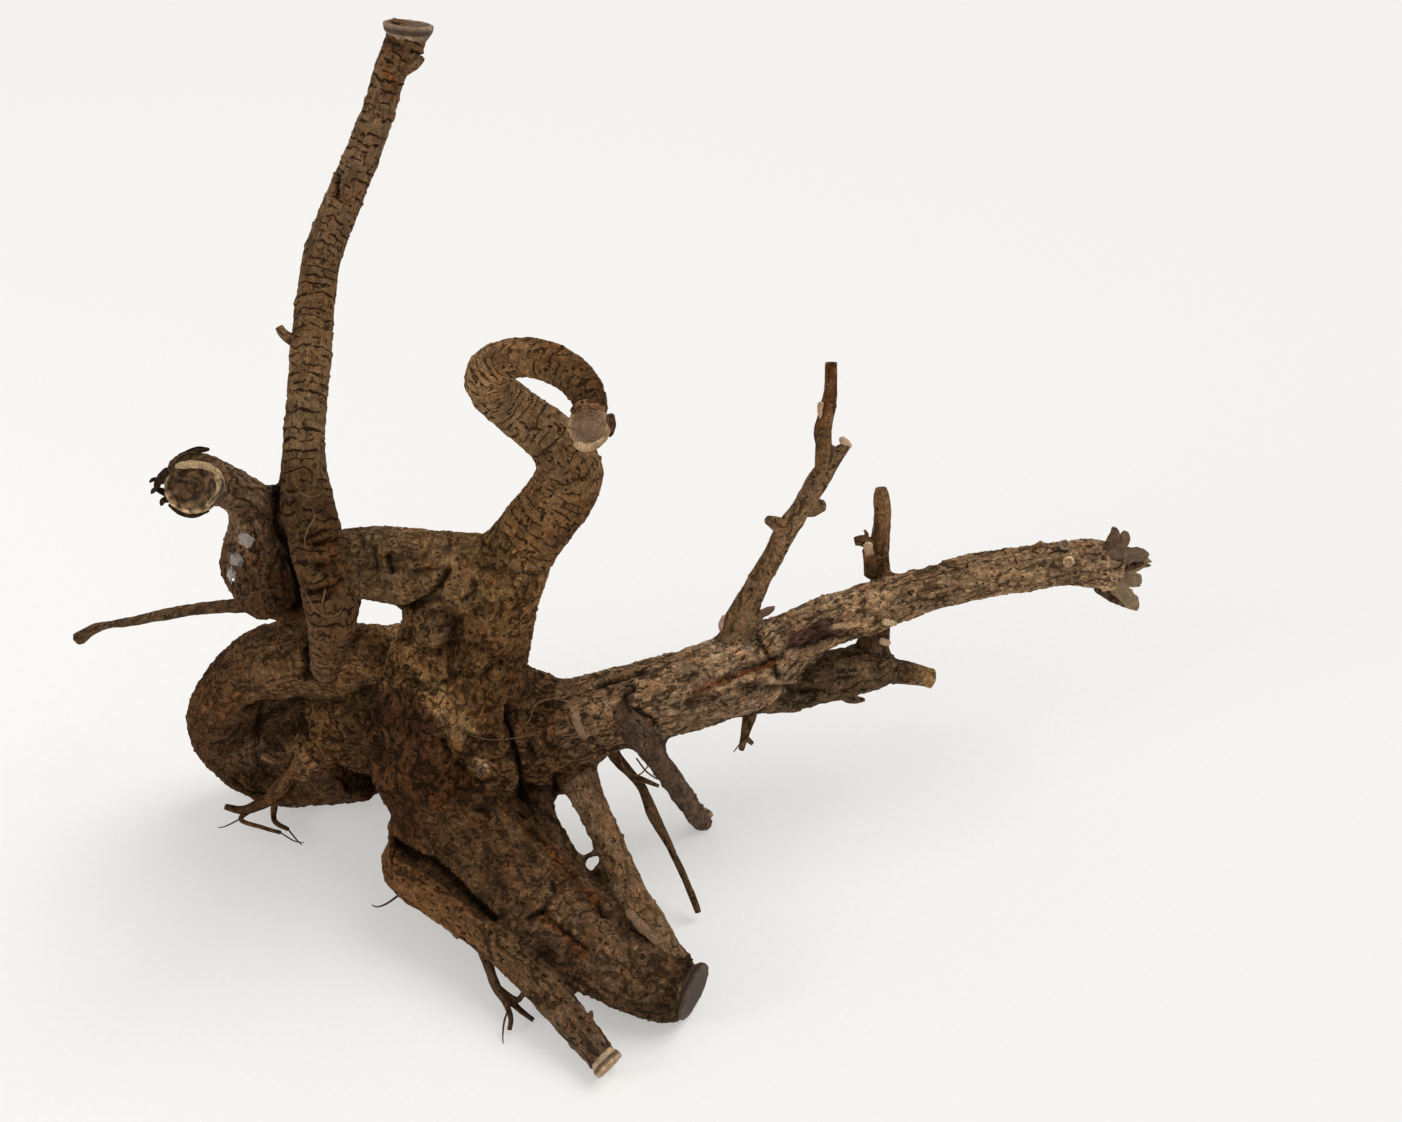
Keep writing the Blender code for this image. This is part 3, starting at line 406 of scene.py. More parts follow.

# Patches of another colour on the bark, a few of them painted shade: colour, strength, half width, lift, and
# the route on the surface.
RED_WOOD = (0.14, 0.05, 0.016)
DARK_WOOD = (0.03, 0.014, 0.008)
PALE_WOOD = (0.3, 0.2, 0.11)
PATCHES = [
    ((0.075, 0.03, 0.012), 0.85, 1.3, -0.5, [(37, 8.4, 77.4), (42.8, 10.4, 78.3), (48, 12.6, 79)]),
    ((0.09, 0.032, 0.01), 0.9, 1, -0.4, [(51, 14.2, 79.4), (57, 16.8, 80), (63.5, 19.3, 80.3)]),
    ((0.02, 0.01, 0.006), 0.85, 1.2, -0.7, [(52, 15, 81.4), (58, 17.6, 82), (66, 20.6, 82.2)]),
    ((0.14, 0.09, 0.05), 0.7, 0.7, 0.4, [(44, 11.6, 80), (48, 13.2, 80.6), (52, 15, 80.6)]),
    (PALE_WOOD, 0.6, 0.7, 0.3, [(42.8, 9, 76.9), (50, 12.4, 77.8), (57, 15.2, 78.6)]),
    ((0.045, 0.022, 0.018), 0.95, 3.4, -0.8, [(70.3, 23.7, 87.3), (77.4, 26.5, 87.7), (86.3, 29.9, 87.7)]),
    (PALE_WOOD, 0.9, 1.1, 0.7, [(84.5, 29.7, 88.3), (90.6, 31.4, 87.9), (99.5, 34.2, 84.4)]),
    (RED_WOOD, 0.8, 1.5, -0.4, [(-57.4, 75.8, 264.6), (-55.9, 75.5, 261)]),
    (DARK_WOOD, 0.8, 1.8, 0, [(-57.3, 80.6, 273.9), (-53.2, 76.3, 272.1)]),
    ((0.085, 0.034, 0.013), 0.4, 2.4, 0, [(-72.5, -11.5, 151), (-72, -14, 145), (-72, -17, 140)]),
    # Painted shade on the lobe's left side, away from the light.
    ((0.042, 0.019, 0.008), 0.6, 10, 0, [(-138, 24, 60), (-146, 30, 46), (-144, 32, 30)]),
    ((0.11, 0.068, 0.04), 0.5, 5, 0.6, [(-129, 28, 33), (-127, 28, 27)]),
    (RED_WOOD, 1, 1.5, -0.8, [(-13.5, -25, 36.6), (-5.7, -33.8, 32.6), (2, -41.8, 29.9)]),
    (RED_WOOD, 1, 1.3, -0.6, [(-12.8, -49.3, 29.6), (-6.1, -54.4, 25.9), (0.5, -59.3, 23.5)]),
    (PALE_WOOD, 0.8, 1.7, 0.3, [(32.3, -68.7, 17.9), (35, -59.4, 9.2)]),
    ((0.02, 0.007, 0.004), 0.75, 7, 0, [(-66.1, -6.8, 81.1), (-58.4, -9.7, 86.6), (-53.5, -12.4, 80.5)]),
    ((0.03, 0.012, 0.005), 0.6, 9, 0, [(-58, -12, 72), (-54, -16, 58), (-60, -18, 46)]),
    ((0.2, 0.12, 0.052), 0.7, 4, 0.5, [(-48.2, -9.5, 90.7), (-43.1, -11.1, 84.8), (-40.2, -12.8, 78.5)]),
    (PALE_WOOD, 0.8, 1.5, 1.2, [(-34.7, -13.9, 64.1), (-34.1, -14.5, 63.3)]),
    # Painted shade in the gap between the tall stem and the bulb.
    ((0.02, 0.01, 0.005), 0.8, 5, 0, [(-90, 30, 142), (-88, 24, 128), (-86, 16, 114)]),
    ((0.16, 0.1, 0.055), 0.5, 3, 0.3, [(-128, 28, 32), (-127, 28, 36)]),
    ((0.14, 0.085, 0.045), 0.55, 2.6, 0.2, [(-103, 19, 90), (-101, 17, 88)]),
    (PALE_WOOD, 0.8, 0.7, 0.4, [(-99.1, 13.4, 74.9), (-97.8, 13.2, 73.8)]),
    ((0.09, 0.042, 0.016), 0.5, 6, 0, [(-134, 20, 61), (-127, 18, 69)]),
    (PALE_WOOD, 0.9, 0.9, 0.6, [(185.5, 60.4, 93.9), (186.2, 58.6, 89.6)]),
    (PALE_WOOD, 0.85, 1.7, 0.4, [(188, 59.8, 84), (188.4, 59.9, 82)]),
    (PALE_WOOD, 0.9, 1.3, 0.6, [(85.7, 51.6, 149.1), (84.6, 51.6, 149.6)]),
    (DARK_WOOD, 0.7, 1, 0, [(76.8, 46.6, 153.7), (79, 46, 153), (81.6, 48, 152.2)]),
    ((0.1, 0.04, 0.015), 0.8, 3.4, 0, [(80.4, 52, 174), (80.4, 53, 178)]),
    ((0.16, 0.1, 0.05), 0.6, 1.5, 0.5, [(-4.2, -0.4, 76.1), (-2.5, -4, 72.6), (-0.5, -5.6, 69.5)]),
    (DARK_WOOD, 0.6, 3, 0, [(-84, -2, 158), (-79, -5, 157), (-74, -3, 158)]),
]

# Cut faces: profile, centre, outward axis, radius, colour at the middle and colour at the rim. A profile
# runs from the middle of the face over its rim and back into the wood: distance out, as a share of the
# radius, and height in millimetres.
HOLLOW = [(0, -2.6), (0.2, -3.6), (0.4, -2.2), (0.6, -2.4), (0.8, -1.4), (0.92, 0.4), (0.98, 0.4),
    (1.02, -0.6), (1, -3), (0.8, -7), (0, -7)]
SAWN = [(0, -0.1), (0.4, 0), (0.8, 0.1), (0.93, 0.35), (1, 0.1), (1.02, -0.5), (0.98, -2), (0.8, -4), (0, -4)]
RINGED = [(0, 0.3), (0.25, 0.4), (0.45, 0), (0.62, 0.5), (0.82, 0.6), (0.97, 0.2), (1.05, -0.6), (1.1, -1.6),
    (0.9, -3), (0, -3)]
CUTS = [
    ("coil_crater", HOLLOW, (-106.2, -21.2, 178.4), (-0.12, -0.86, 0.5), 8.3, (0.095, 0.052, 0.023),
        (0.27, 0.175, 0.09)),
    ("loop_cut", SAWN, (8.2, -31.8, 203.2), (0.02, -0.9, 0.43), 5.7, (0.17, 0.1, 0.058), (0.3, 0.185, 0.095)),
    ("stem_cut", SAWN, (-50.6, 83, 277.2), (0.12, 0.12, 1), 7.3, (0.09, 0.052, 0.03), (0.2, 0.13, 0.08)),
    ("leg_cut", SAWN, (9.4, -88, 5.4), (0.7, -0.62, -0.38), 5, (0.3, 0.2, 0.12), (0.36, 0.24, 0.14)),
    ("foot_cut", SAWN, (36, -64.6, 11.4), (0.86, -0.45, -0.1), 9.6, (0.04, 0.024, 0.014),
        (0.07, 0.042, 0.024)),
    ("root_cut", SAWN, (39.6, 21.4, 2.9), (0.62, -0.6, -0.4), 3.9, (0.18, 0.11, 0.065), (0.24, 0.15, 0.09)),
    ("arm_knot_front", RINGED, (169.2, 54.4, 98.6), (-0.2, -0.92, 0.3), 1.9, (0.32, 0.2, 0.1),
        (0.5, 0.34, 0.19)),
    ("arm_knot_top", RINGED, (159.4, 58, 101.6), (-0.2, -0.7, 0.7), 1.5, (0.3, 0.18, 0.09),
        (0.42, 0.28, 0.16)),
    ("arm_knot_far", RINGED, (168, 58.4, 103.4), (-0.1, -0.7, 0.7), 1.8, (0.16, 0.1, 0.06),
        (0.28, 0.19, 0.12)),
    ("body_nub", RINGED, (-34.6, -16, 63.6), (0.3, -0.9, 0.3), 1.7, (0.055, 0.032, 0.015),
        (0.12, 0.075, 0.038)),
]

# Flat splinters and bark flaps: half width, thickness, which way the flat side faces, colour and route.
OLIVE = (0.19, 0.125, 0.065)
SCORCHED = (0.02, 0.011, 0.006)
BLADES = [
    (5, 1.3, (0.15, -0.9, 0.5), OLIVE, [(186, 66, 89), (193, 67.5, 89.5), (199, 68.5, 89), (202.6, 69, 88)]),
    (4.4, 1.1, (0.1, -0.95, 0.2), OLIVE, [(188, 66, 84), (194, 67.5, 82), (199, 68.5, 80.6),
        (201.6, 69, 78.6)]),
    (4.2, 1.4, (0.3, -0.95, 0.3), OLIVE, [(187, 66, 83), (193, 67.5, 77), (199, 69, 71), (203, 70, 66.4)]),
    (2.4, 1.6, (-0.1, -0.8, 0.5), (0.1, 0.06, 0.033), [(186, 68, 92), (187.6, 68, 97), (188.4, 68, 101),
        (187.6, 68, 104)]),
    (3.6, 1.8, (0.1, -0.85, 0.5), (0.105, 0.065, 0.037), [(184, 64, 92), (190, 65.6, 93), (196, 67.6, 92.4),
        (202.4, 69.4, 91.4)]),
    (1.4, 1.2, (0.1, -0.85, 0.5), (0.05, 0.03, 0.016), [(188, 62, 88.4), (194, 64.6, 88.6), (201, 68, 88.4)]),
    (1.6, 1.4, (0.1, -0.85, -0.2), (0.06, 0.036, 0.02), [(183, 62, 82), (188, 64.4, 77), (194, 67, 71.6),
        (200, 69, 67.4)]),
    (2.4, 1, (0.2, -0.8, 0.5), (0.15, 0.085, 0.042), [(190, 68, 95), (192.4, 68, 99), (191.6, 68, 102.6)]),
    (1.3, 0.8, (0.1, -0.9, 0.3), (0.42, 0.28, 0.15), [(186.4, 62.5, 91), (187.4, 62, 87), (189, 61.6, 84)]),
    (2.2, 0.9, (-0.2, -0.6, 0.8), (0.05, 0.03, 0.015), [
        (-111.6, -20, 182), (-109.4, -20.6, 184.6), (-106, -20.6, 186.2), (-102.4, -20, 186.4),
        (-99, -19, 185.4)]),
    (1.5, 0.8, (-0.6, -0.6, 0.5), SCORCHED, [(-110, -18, 184), (-107, -18, 186), (-104, -17, 187),
        (-101, -16.4, 187)]),
    (1.6, 0.9, (-0.7, -0.6, 0), SCORCHED, [(-113.6, -21, 171.8), (-110.8, -22, 169.8), (-107.7, -22, 168.4),
        (-103.6, -20, 168.6)]),
    (1.4, 0.9, (-0.7, -0.6, 0.2), SCORCHED, [(-112.6, -19, 182), (-115, -20, 179.6), (-116.6, -20.6, 176.6),
        (-114.6, -20, 173.6)]),
    (1, 0.7, (-0.7, -0.6, 0.2), SCORCHED, [(-114.4, -19.6, 178), (-116.6, -20, 179.4), (-118.2, -20, 178.4)]),
    (0.9, 0.7, (-0.7, -0.6, 0.2), SCORCHED, [(-114.6, -19.6, 175), (-117, -20, 176), (-118.6, -20, 174.6)]),
    (1, 0.7, (-0.7, -0.6, 0.2), SCORCHED, [(-113, -20, 172.6), (-115.6, -20, 172.4), (-116.8, -20, 170.6)]),
    (1.1, 0.9, (0.4, -0.8, 0.4), (0.33, 0.22, 0.115), [(-108, -24, 186), (-104, -23.8, 186.6),
        (-100.4, -23, 185.6), (-97.6, -22, 183), (-97, -21.6, 180.6)]),
    (1.2, 0.8, (0, -0.8, 0.5), (0.32, 0.21, 0.11), [(4.2, -34, 199.4), (7, -35, 198.6), (10.4, -34.8, 199.4),
        (13.2, -33.4, 201.4)]),
    (1.3, 0.8, (0, -0.8, 0.6), (0.12, 0.06, 0.03), [(3.6, -30.6, 207), (6.7, -30.8, 209.2),
        (10, -30.6, 209.2), (12.6, -30, 207)]),
    (1.4, 0.9, (0.7, -0.6, 0.2), (0.06, 0.032, 0.016), [(13.6, -30, 206), (14.2, -31, 203),
        (13.6, -31.6, 200)]),
    (0.9, 0.6, (0.3, -0.9, 0.3), (0.3, 0.19, 0.1), [(83.6, 29.4, 88.6), (86.6, 30, 88.6), (90, 31, 87.6)]),
    (1.7, 0.8, (0, -1, -0.2), (0.48, 0.33, 0.2), [(97.4, 56.9, 105.2), (97.7, 56.8, 102.6),
        (98.4, 57, 98.4)]),
    (1.4, 0.8, (0.3, -0.9, -0.1), (0.4, 0.27, 0.155), [(101.6, 35.4, 87), (104, 34.8, 86.2),
        (106.8, 35.6, 85)]),
    (1.3, 0.8, (0.3, -0.7, 0.6), (0.4, 0.26, 0.15), [(101.8, 38.6, 75.6), (104.4, 39, 74.2),
        (106, 40.4, 72.6)]),
    (1.2, 0.8, (0.1, -1, 0.3), (0.48, 0.33, 0.2), [(84.6, 50.4, 151.6), (86.4, 51, 150), (88.4, 52, 147.4)]),
    (1, 0.7, (-0.5, -0.8, 0), (0.42, 0.27, 0.16), [(77.4, 49.4, 166), (77, 49.2, 163.4), (77.4, 49.4, 160)]),
    (1.6, 0.8, (-0.9, -0.3, 0.2), (0.42, 0.25, 0.18), [(45.6, 31, 84.6), (44.9, 31, 88), (46, 31.6, 92)]),
    (1.8, 1, (0.4, -0.8, 0.4), (0.15, 0.075, 0.045), [(56, 33, 88.6), (59.6, 34, 91), (63.6, 35.6, 92.4)]),
    (3.2, 1.2, (0, -0.9, -0.3), (0.07, 0.042, 0.024), [(60, 24, 60), (66, 25.4, 56.6), (70, 26, 54),
        (73.6, 27, 52.8)]),
    (3.4, 1.2, (0.1, -0.9, -0.3), (0.08, 0.048, 0.028), [(84, 31, 58), (90, 33, 54.4), (94, 34, 51.6),
        (97.4, 35, 50.6)]),
    (1.5, 0.9, (0.3, -0.8, 0.4), (0.17, 0.1, 0.055), [(-4.4, -1.6, 76.8), (-2.8, -4.8, 73),
        (-0.6, -6.4, 69)]),
    (3, 1, (0, -0.6, 0.8), (0.05, 0.028, 0.014), [(-22, -6, 40), (-14, -14, 37.4), (-7, -24, 33.6),
        (0, -33, 31)]),
    (1.6, 0.8, (0.1, -0.7, 0.7), (0.14, 0.08, 0.045), [(14, -47, 30.6), (20, -53, 27.6), (26, -58, 25)]),
]

# Loose fibres and hair roots on the bark: thickness, colour and route.
STRAW = (0.12, 0.072, 0.036)
ROOT_BROWN = (0.05, 0.027, 0.014)
FIBRES = [
    (0.22, STRAW, [(-76.5, -13, 169), (-74.6, -14, 166.4), (-74.4, -15, 163), (-77.4, -14.6, 160),
        (-79.6, -14.4, 156), (-80.4, -13.6, 152)]),
    (0.15, STRAW, [(-86, -2, 172), (-82, -6.6, 168.6), (-77.6, -8.4, 166.6), (-73, -6.8, 166.6),
        (-69.4, -1.4, 166)]),
    (0.17, STRAW, [(-82.6, -14, 140), (-77, -22.6, 134.4), (-71.4, -23.6, 133), (-66.6, -19.6, 135)]),
    (0.22, STRAW, [(-76.6, -23, 133.6), (-75, -22.6, 137.6), (-74, -20.6, 141.6)]),
    (0.17, STRAW, [(-17.3, -2.1, 80.3), (-12.7, 1.9, 79.2), (-6, 0.8, 79), (0.8, -1.2, 76.4),
        (8.1, -2.2, 72.6), (14.1, -6, 67.6)]),
    (0.14, STRAW, [(-18.2, -5.4, 78.4), (-16, -3, 82), (-12, -1, 84.6), (-7.7, 1.4, 81.6), (-6, 0.6, 79)]),
    (0.14, STRAW, [(-7.7, 1.4, 79.4), (-7, -3, 77), (-5.4, -5.6, 74), (-2.5, -5.6, 72.6), (3.9, -6.4, 64)]),
    (0.12, STRAW, [(-37.7, -14, 76.8), (-33, -13.6, 75.4), (-28.6, -11.6, 73.2), (-20.4, -10.2, 73.4),
        (-14, -8.4, 74)]),
    (0.12, STRAW, [(-20, -9.4, 76), (-17.4, -7, 79.4), (-16.6, -4.6, 81.4)]),
    (0.3, ROOT_BROWN, [(10.6, -5, 60), (12.4, -9, 57), (17, -10, 56), (20.6, -7, 59), (19.6, -4, 63)]),
    (0.3, ROOT_BROWN, [(16, -4, 58), (20, -6, 53), (25, -8, 52), (28.6, -5, 55.6)]),
    (0.35, ROOT_BROWN, [(-24, -66, 6.8), (-25.6, -70, 4.6), (-26, -74, 1.4), (-25.6, -76, 0.6)]),
    (0.3, ROOT_BROWN, [(-19, -60, 9.5), (-16.6, -62, 12), (-15.6, -63, 14.4)]),
    (0.4, ROOT_BROWN, [(-63, -31, 22), (-67.6, -34, 20), (-71, -35.6, 19.6), (-73, -35.6, 20.6)]),
    (0.3, ROOT_BROWN, [(-117, 11, 7.2), (-112, 9, 5), (-108, 8.4, 4.6)]),
    (0.3, ROOT_BROWN, [(-133, 17, 8.4), (-138.4, 15, 6.4), (-141, 14, 6.8)]),
    (0.3, ROOT_BROWN, [(-115.5, 15, 4.9), (-112, 12, 2.4), (-110, 11, 0.6)]),
    (0.3, ROOT_BROWN, [(54, 20, 46), (51, 18, 43), (49.6, 17, 41.4)]),
    (0.3, ROOT_BROWN, [(-52, 2, 131), (-52, 1, 140), (-54, 0.5, 142.4), (-57, 1, 141)]),
]


def sizes():
    return bpy.context.scene.driftwood_sizes


def colours():
    return bpy.context.scene.driftwood_colours


def smooth_route(stations, step):
    """Points and radii about a step apart on the Catmull-Rom curve: a cubic blend of four neighbouring
    stations."""
    ends = np.array([stations[0], *stations, stations[-1]], float)
    parts = []
    for a, b, c, d in zip(ends, ends[1:], ends[2:], ends[3:]):
        count = max(1, round(np.linalg.norm(c[:3] - b[:3]) / step))
        t = np.arange(count)[:, None] / count
        parts.append(0.5 * (
            2 * b + (c - a) * t + (2 * a - 5 * b + 4 * c - d) * t**2 + (3 * b - a - 3 * c + d) * t**3))
    route = np.concatenate([*parts, ends[-1:]])
    return route[:, :3], np.maximum(route[:, 3], 0.4)


class Route:
    """A limb's centre line with its radii, its length up to each point, and side axes that twist as
    little as they can."""

    def __init__(self, name, stations, step, facing=(0.3, 0.9, 0.2)):
        self.name = name
        self.points, self.radii = smooth_route(stations, step)
        self.steps = np.diff(self.points, axis=0)
        lengths = np.linalg.norm(self.steps, axis=1)
        self.lengths = np.maximum(lengths, 1e-6)
        self.along = np.concatenate([[0], np.cumsum(lengths)])
        tangents = np.gradient(self.points, axis=0)
        self.tangents = tangents / np.linalg.norm(tangents, axis=1)[:, None]
        side = np.cross(self.tangents[0], facing)
        sides = []
        for tangent in self.tangents:
            side = side - (side @ tangent) * tangent
            side = side / np.linalg.norm(side)
            sides.append(side)
        self.sides = np.array(sides)
        self.ups = np.cross(self.tangents, self.sides)

    def nearest(self, places):
        """For each place: its gap to the limb's round surface, and its place along, to the side and up
        from the line."""
        apart = (places**2).sum(1)[:, None] + (self.points**2).sum(1) - 2 * places @ self.points.T
        nearest = np.argmin(np.sqrt(np.maximum(apart, 0)) - self.radii, axis=1)
        before = np.einsum("ij,ij->i", places - self.points[nearest], self.tangents[nearest]) < 0
        first = np.clip(nearest - before, 0, len(self.steps) - 1)
        offset = places - self.points[first]
        share = np.einsum("ij,ij->i", offset, self.steps[first]) / self.lengths[first] ** 2
        share = np.clip(share, 0, 1)[:, None]
        offset = offset - share * self.steps[first]
        radius = (1 - share[:, 0]) * self.radii[first] + share[:, 0] * self.radii[first + 1]
        side = (1 - share) * self.sides[first] + share * self.sides[first + 1]
        up = (1 - share) * self.ups[first] + share * self.ups[first + 1]
        gap = np.linalg.norm(offset, axis=1) - radius
        along = self.along[first] + share[:, 0] * self.lengths[first]
        across = np.einsum("ij,ij->i", offset, side)
        over = np.einsum("ij,ij->i", offset, up)
        return gap, np.stack([along, across, over], axis=1), along / self.along[-1]


def ring_faces(rows, turns, flipped=False):
    """Faces of a surface of rings that closes on two poles, its last two corners: quads between
    neighbouring rings, triangles round each pole. Flipped, they are wound the other way."""
    ring = np.arange(turns)
    beside_ring = np.roll(ring, -1)
    starts = np.arange(rows - 1)[:, None] * turns
    here = (starts + ring).ravel()
    beside = (starts + beside_ring).ravel()
    last = (rows - 1) * turns
    first_pole = np.full(turns, rows * turns)
    walls = np.stack([here, beside, beside + turns, here + turns], axis=1)
    caps = np.concatenate([
        np.stack([beside_ring, ring, first_pole], axis=1),
        np.stack([last + ring, last + beside_ring, first_pole + 1], axis=1)])
    if flipped:
        return walls[:, [0, 3, 2, 1]], caps[:, [1, 0, 2]]
    return walls, caps


def tube(route, turns, swell=0.0, seed=0):
    """A tube: centre(s) + radius(s) * (cos a * side(s) + sin a * up(s)), its radius varied by noise, its
    ends closed."""
    angles = np.arange(turns) * 2 * math.pi / turns
    spokes = (
        np.cos(angles)[None, :, None] * route.sides[:, None]
        + np.sin(angles)[None, :, None] * route.ups[:, None])
    rings = route.points[:, None] + route.radii[:, None, None] * spokes
    if swell:
        grain = np.stack(np.broadcast_arrays(
            route.along[:, None] / 9, 1.6 * np.cos(angles)[None], 1.6 * np.sin(angles)[None]), axis=-1)
        grain = grain.reshape(-1, 3)
        bumps = lattice_noise(grain, seed) + 0.5 * lattice_noise(grain * 3.1, seed + 1)
        rings = rings + spokes * (swell * route.radii[:, None] * bumps.reshape(len(rings), turns))[..., None]
    places = np.concatenate([rings.reshape(-1, 3), route.points[:1], route.points[-1:]])
    return places, *ring_faces(len(rings), turns)


def frame_of(axis):
    """Two unit axes at right angles to the given one, and that one made a unit axis."""
    axis = np.array(axis, float) / np.linalg.norm(axis)
    side = np.cross(axis, (0.0, 0.0, 1.0) if abs(axis[2]) < 0.9 else (0.0, 1.0, 0.0))
    side /= np.linalg.norm(side)
    return side, np.cross(axis, side), axis


def turned(profile, centre, axis, radius, turns, seed, ragged=0.06, rough=0.25):
    """A profile carried round an axis: centre + radius * out(u) * (cos a, sin a) + height(u) * axis, both
    made uneven by noise. It starts and ends on the axis, so it is closed. Also returns each place's share
    of the radius, and its place across the face and along the axis."""
    side, up, axis = frame_of(axis)
    out, height = np.array(profile, float).T
    stops = np.concatenate([[0], np.cumsum(np.hypot(np.diff(out) * radius, np.diff(height)))])
    rows = np.linspace(0, stops[-1], max(12, int(stops[-1] / 0.35)))[1:-1]
    out_row, height_row = np.interp(rows, stops, out), np.interp(rows, stops, height)
    angles = np.arange(turns) * 2 * math.pi / turns
    circle = np.stack([np.cos(angles), np.sin(angles)], axis=1)
    uneven = 1 + ragged * lattice_noise(np.column_stack([circle * 2.4, np.zeros(turns)]), seed)
    flat = out_row[:, None, None] * (circle * uneven[:, None])[None] * radius
    spots = np.concatenate([flat.reshape(-1, 2) / 2.2, np.repeat(out_row, turns)[:, None]], axis=1)
    bumps = rough * (lattice_noise(spots, seed + 1) + 0.6 * lattice_noise(spots * 2.7, seed + 2))
    places = centre + flat[..., :1] * side + flat[..., 1:] * up
    places = places + (height_row[:, None] + bumps.reshape(len(rows), turns))[..., None] * axis
    ends = [centre + height[0] * axis, centre + height[-1] * axis]
    places = np.concatenate([places.reshape(-1, 3), ends])
    share = np.concatenate([np.repeat(out_row, turns), [0, 0]])
    level = np.concatenate([np.repeat(height_row, turns), [height[0], height[-1]]])
    local = np.column_stack([np.concatenate([flat.reshape(-1, 2), [(0, 0), (0, 0)]]), level])
    return places, *ring_faces(len(rows), turns, flipped=True), share, local


def blade(route, half_width, thickness, turns, seed):
    """A flat splinter: centre(s) + half width * cos a * side(s) + thickness * sin a * up(s), narrowing to
    a torn end."""
    count = len(route.points)
    share = np.linspace(0, 1, count)[:, None]
    angles = np.arange(turns)[None] * 2 * math.pi / turns
    taper = np.sqrt(np.clip(1.02 - share**3, 0.02, 1)) * np.clip(0.55 + 3 * share, 0, 1)
    spots = np.stack(np.broadcast_arrays(
        route.along[:, None] / 2.4, np.cos(angles) * 1.3, 0 * angles + seed), axis=-1)
    torn = lattice_noise(spots.reshape(-1, 3), seed).reshape(count, turns)
    wide = half_width * taper * (1 + 0.28 * torn)
    flat = (wide * np.cos(angles))[..., None] * route.sides[:, None]
    flat = flat + (thickness * np.clip(1.3 - share, 0.3, 1) * np.sin(angles))[..., None] * route.ups[:, None]
    tip = np.column_stack([np.cos(angles[0]) * 3.3, np.zeros(turns), np.full(turns, seed)])
    jag = lattice_noise(tip, seed + 1)
    flat = flat + (share**4 * half_width * 0.7 * jag)[..., None] * route.tangents[:, None]
    rings = route.points[:, None] + flat
    places = np.concatenate([rings.reshape(-1, 3), route.points[:1], rings[-1].mean(0)[None]])
    return places, *ring_faces(count, turns)


def ball(x, y, z, half_x, half_y, half_z, turns=24):
    """An ellipsoid: centre + half sizes * (sin t cos a, sin t sin a, cos t), with t from pole to pole."""
    tilt = np.linspace(0, math.pi, turns // 2 + 1)[1:-1, None]
    angles = np.arange(turns)[None] * 2 * math.pi / turns
    unit = np.stack(np.broadcast_arrays(
        np.sin(tilt) * np.cos(angles), np.sin(tilt) * np.sin(angles), np.cos(tilt)), axis=-1)
    unit = np.concatenate([unit.reshape(-1, 3), [(0, 0, 1), (0, 0, -1)]])
    places = unit * (half_x, half_y, half_z) + (x, y, z)
    return places, *ring_faces(len(tilt), turns, flipped=True)


def gathered(shapes):
    """One list of places and one of faces from several shapes, their faces counted on from shape to shape."""
    places, faces, count = [], [], 0
    for corners, walls, caps in shapes:
        places.append(corners)
        faces += (walls + count).tolist() + (caps + count).tolist()
        count += len(corners)
    return np.concatenate(places), faces


def new_piece(name, places, faces):
    """An object at the origin whose mesh holds the places, given in millimetres."""
    mesh = bpy.data.meshes.new(name)
    mesh.from_pydata(places * MM, [], faces)
    mesh.polygons.foreach_set("use_smooth", np.ones(len(mesh.polygons), bool))
    made = bpy.data.objects.new(name, mesh)
    bpy.context.scene.collection.objects.link(made)
    return made


def on_floor(places):
    """The places with none of them below the floor."""
    return np.column_stack([places[:, :2], np.maximum(places[:, 2], 0)])


def mesh_places(mesh):
    places = np.empty(len(mesh.vertices) * 3, np.float32)
    mesh.vertices.foreach_get("co", places)
    return places.reshape(-1, 3).astype(float) / MM


def mesh_normals(mesh):
    normals = np.empty(len(mesh.vertices) * 3, np.float32)
    mesh.vertex_normals.foreach_get("vector", normals)
    return normals.reshape(-1, 3).astype(float)


def apply_modifiers(piece):
    """The piece's mesh becomes what its modifiers make."""
    bpy.context.view_layer.update()
    made = bpy.data.meshes.new_from_object(piece.evaluated_get(bpy.context.evaluated_depsgraph_get()))
    old = piece.data
    piece.modifiers.clear()
    piece.data = made
    bpy.data.meshes.remove(old)


def picked(corners):
    """For each lattice corner, which of the random draws it takes."""
    return (corners[:, 0] * PICK[0] ^ corners[:, 1] * PICK[1] ^ corners[:, 2] * PICK[2]) % DRAWN


def lattice_noise(places, seed):
    """Gradient noise from -1 to 1: at each lattice corner a random slope, blended by 6t^5 - 15t^4 + 10t^3."""
    rng = np.random.default_rng(seed)
    slopes = rng.normal(size=(DRAWN, 3))
    slopes /= np.linalg.norm(slopes, axis=1)[:, None]
    base = np.floor(places).astype(np.int64)
    inside = places - base
    blend = inside**3 * (inside * (inside * 6 - 15) + 10)
    value = np.zeros(len(places))
    for corner in np.ndindex(2, 2, 2):
        weight = np.prod(np.where(corner, blend, 1 - blend), axis=1)
        value += weight * np.einsum("ij,ij->i", slopes[picked(base + corner)], inside - corner)
    return 1.6 * value


def cells(places, seed):
    """Random cells: distance to their nearest border, half the gap between the two nearest centres;
    distance to the nearest centre; and one random number for each cell."""
    rng = np.random.default_rng(seed)
    jitter = rng.uniform(0.1, 0.9, size=(DRAWN, 3))
    chance = rng.uniform(size=DRAWN)
    base = np.floor(places).astype(np.int64)
    first, second = np.full(len(places), 9.0), np.full(len(places), 9.0)
    drawn = np.zeros(len(places))
    for step in np.ndindex(3, 3, 3):
        at = base + step - 1
        key = picked(at)
        apart = np.linalg.norm(at + jitter[key] - places, axis=1)
        closer = apart < first
        second = np.minimum(second, np.maximum(first, apart))
        first = np.where(closer, apart, first)
        drawn = np.where(closer, chance[key], drawn)
    return (second - first) / 2, first, drawn


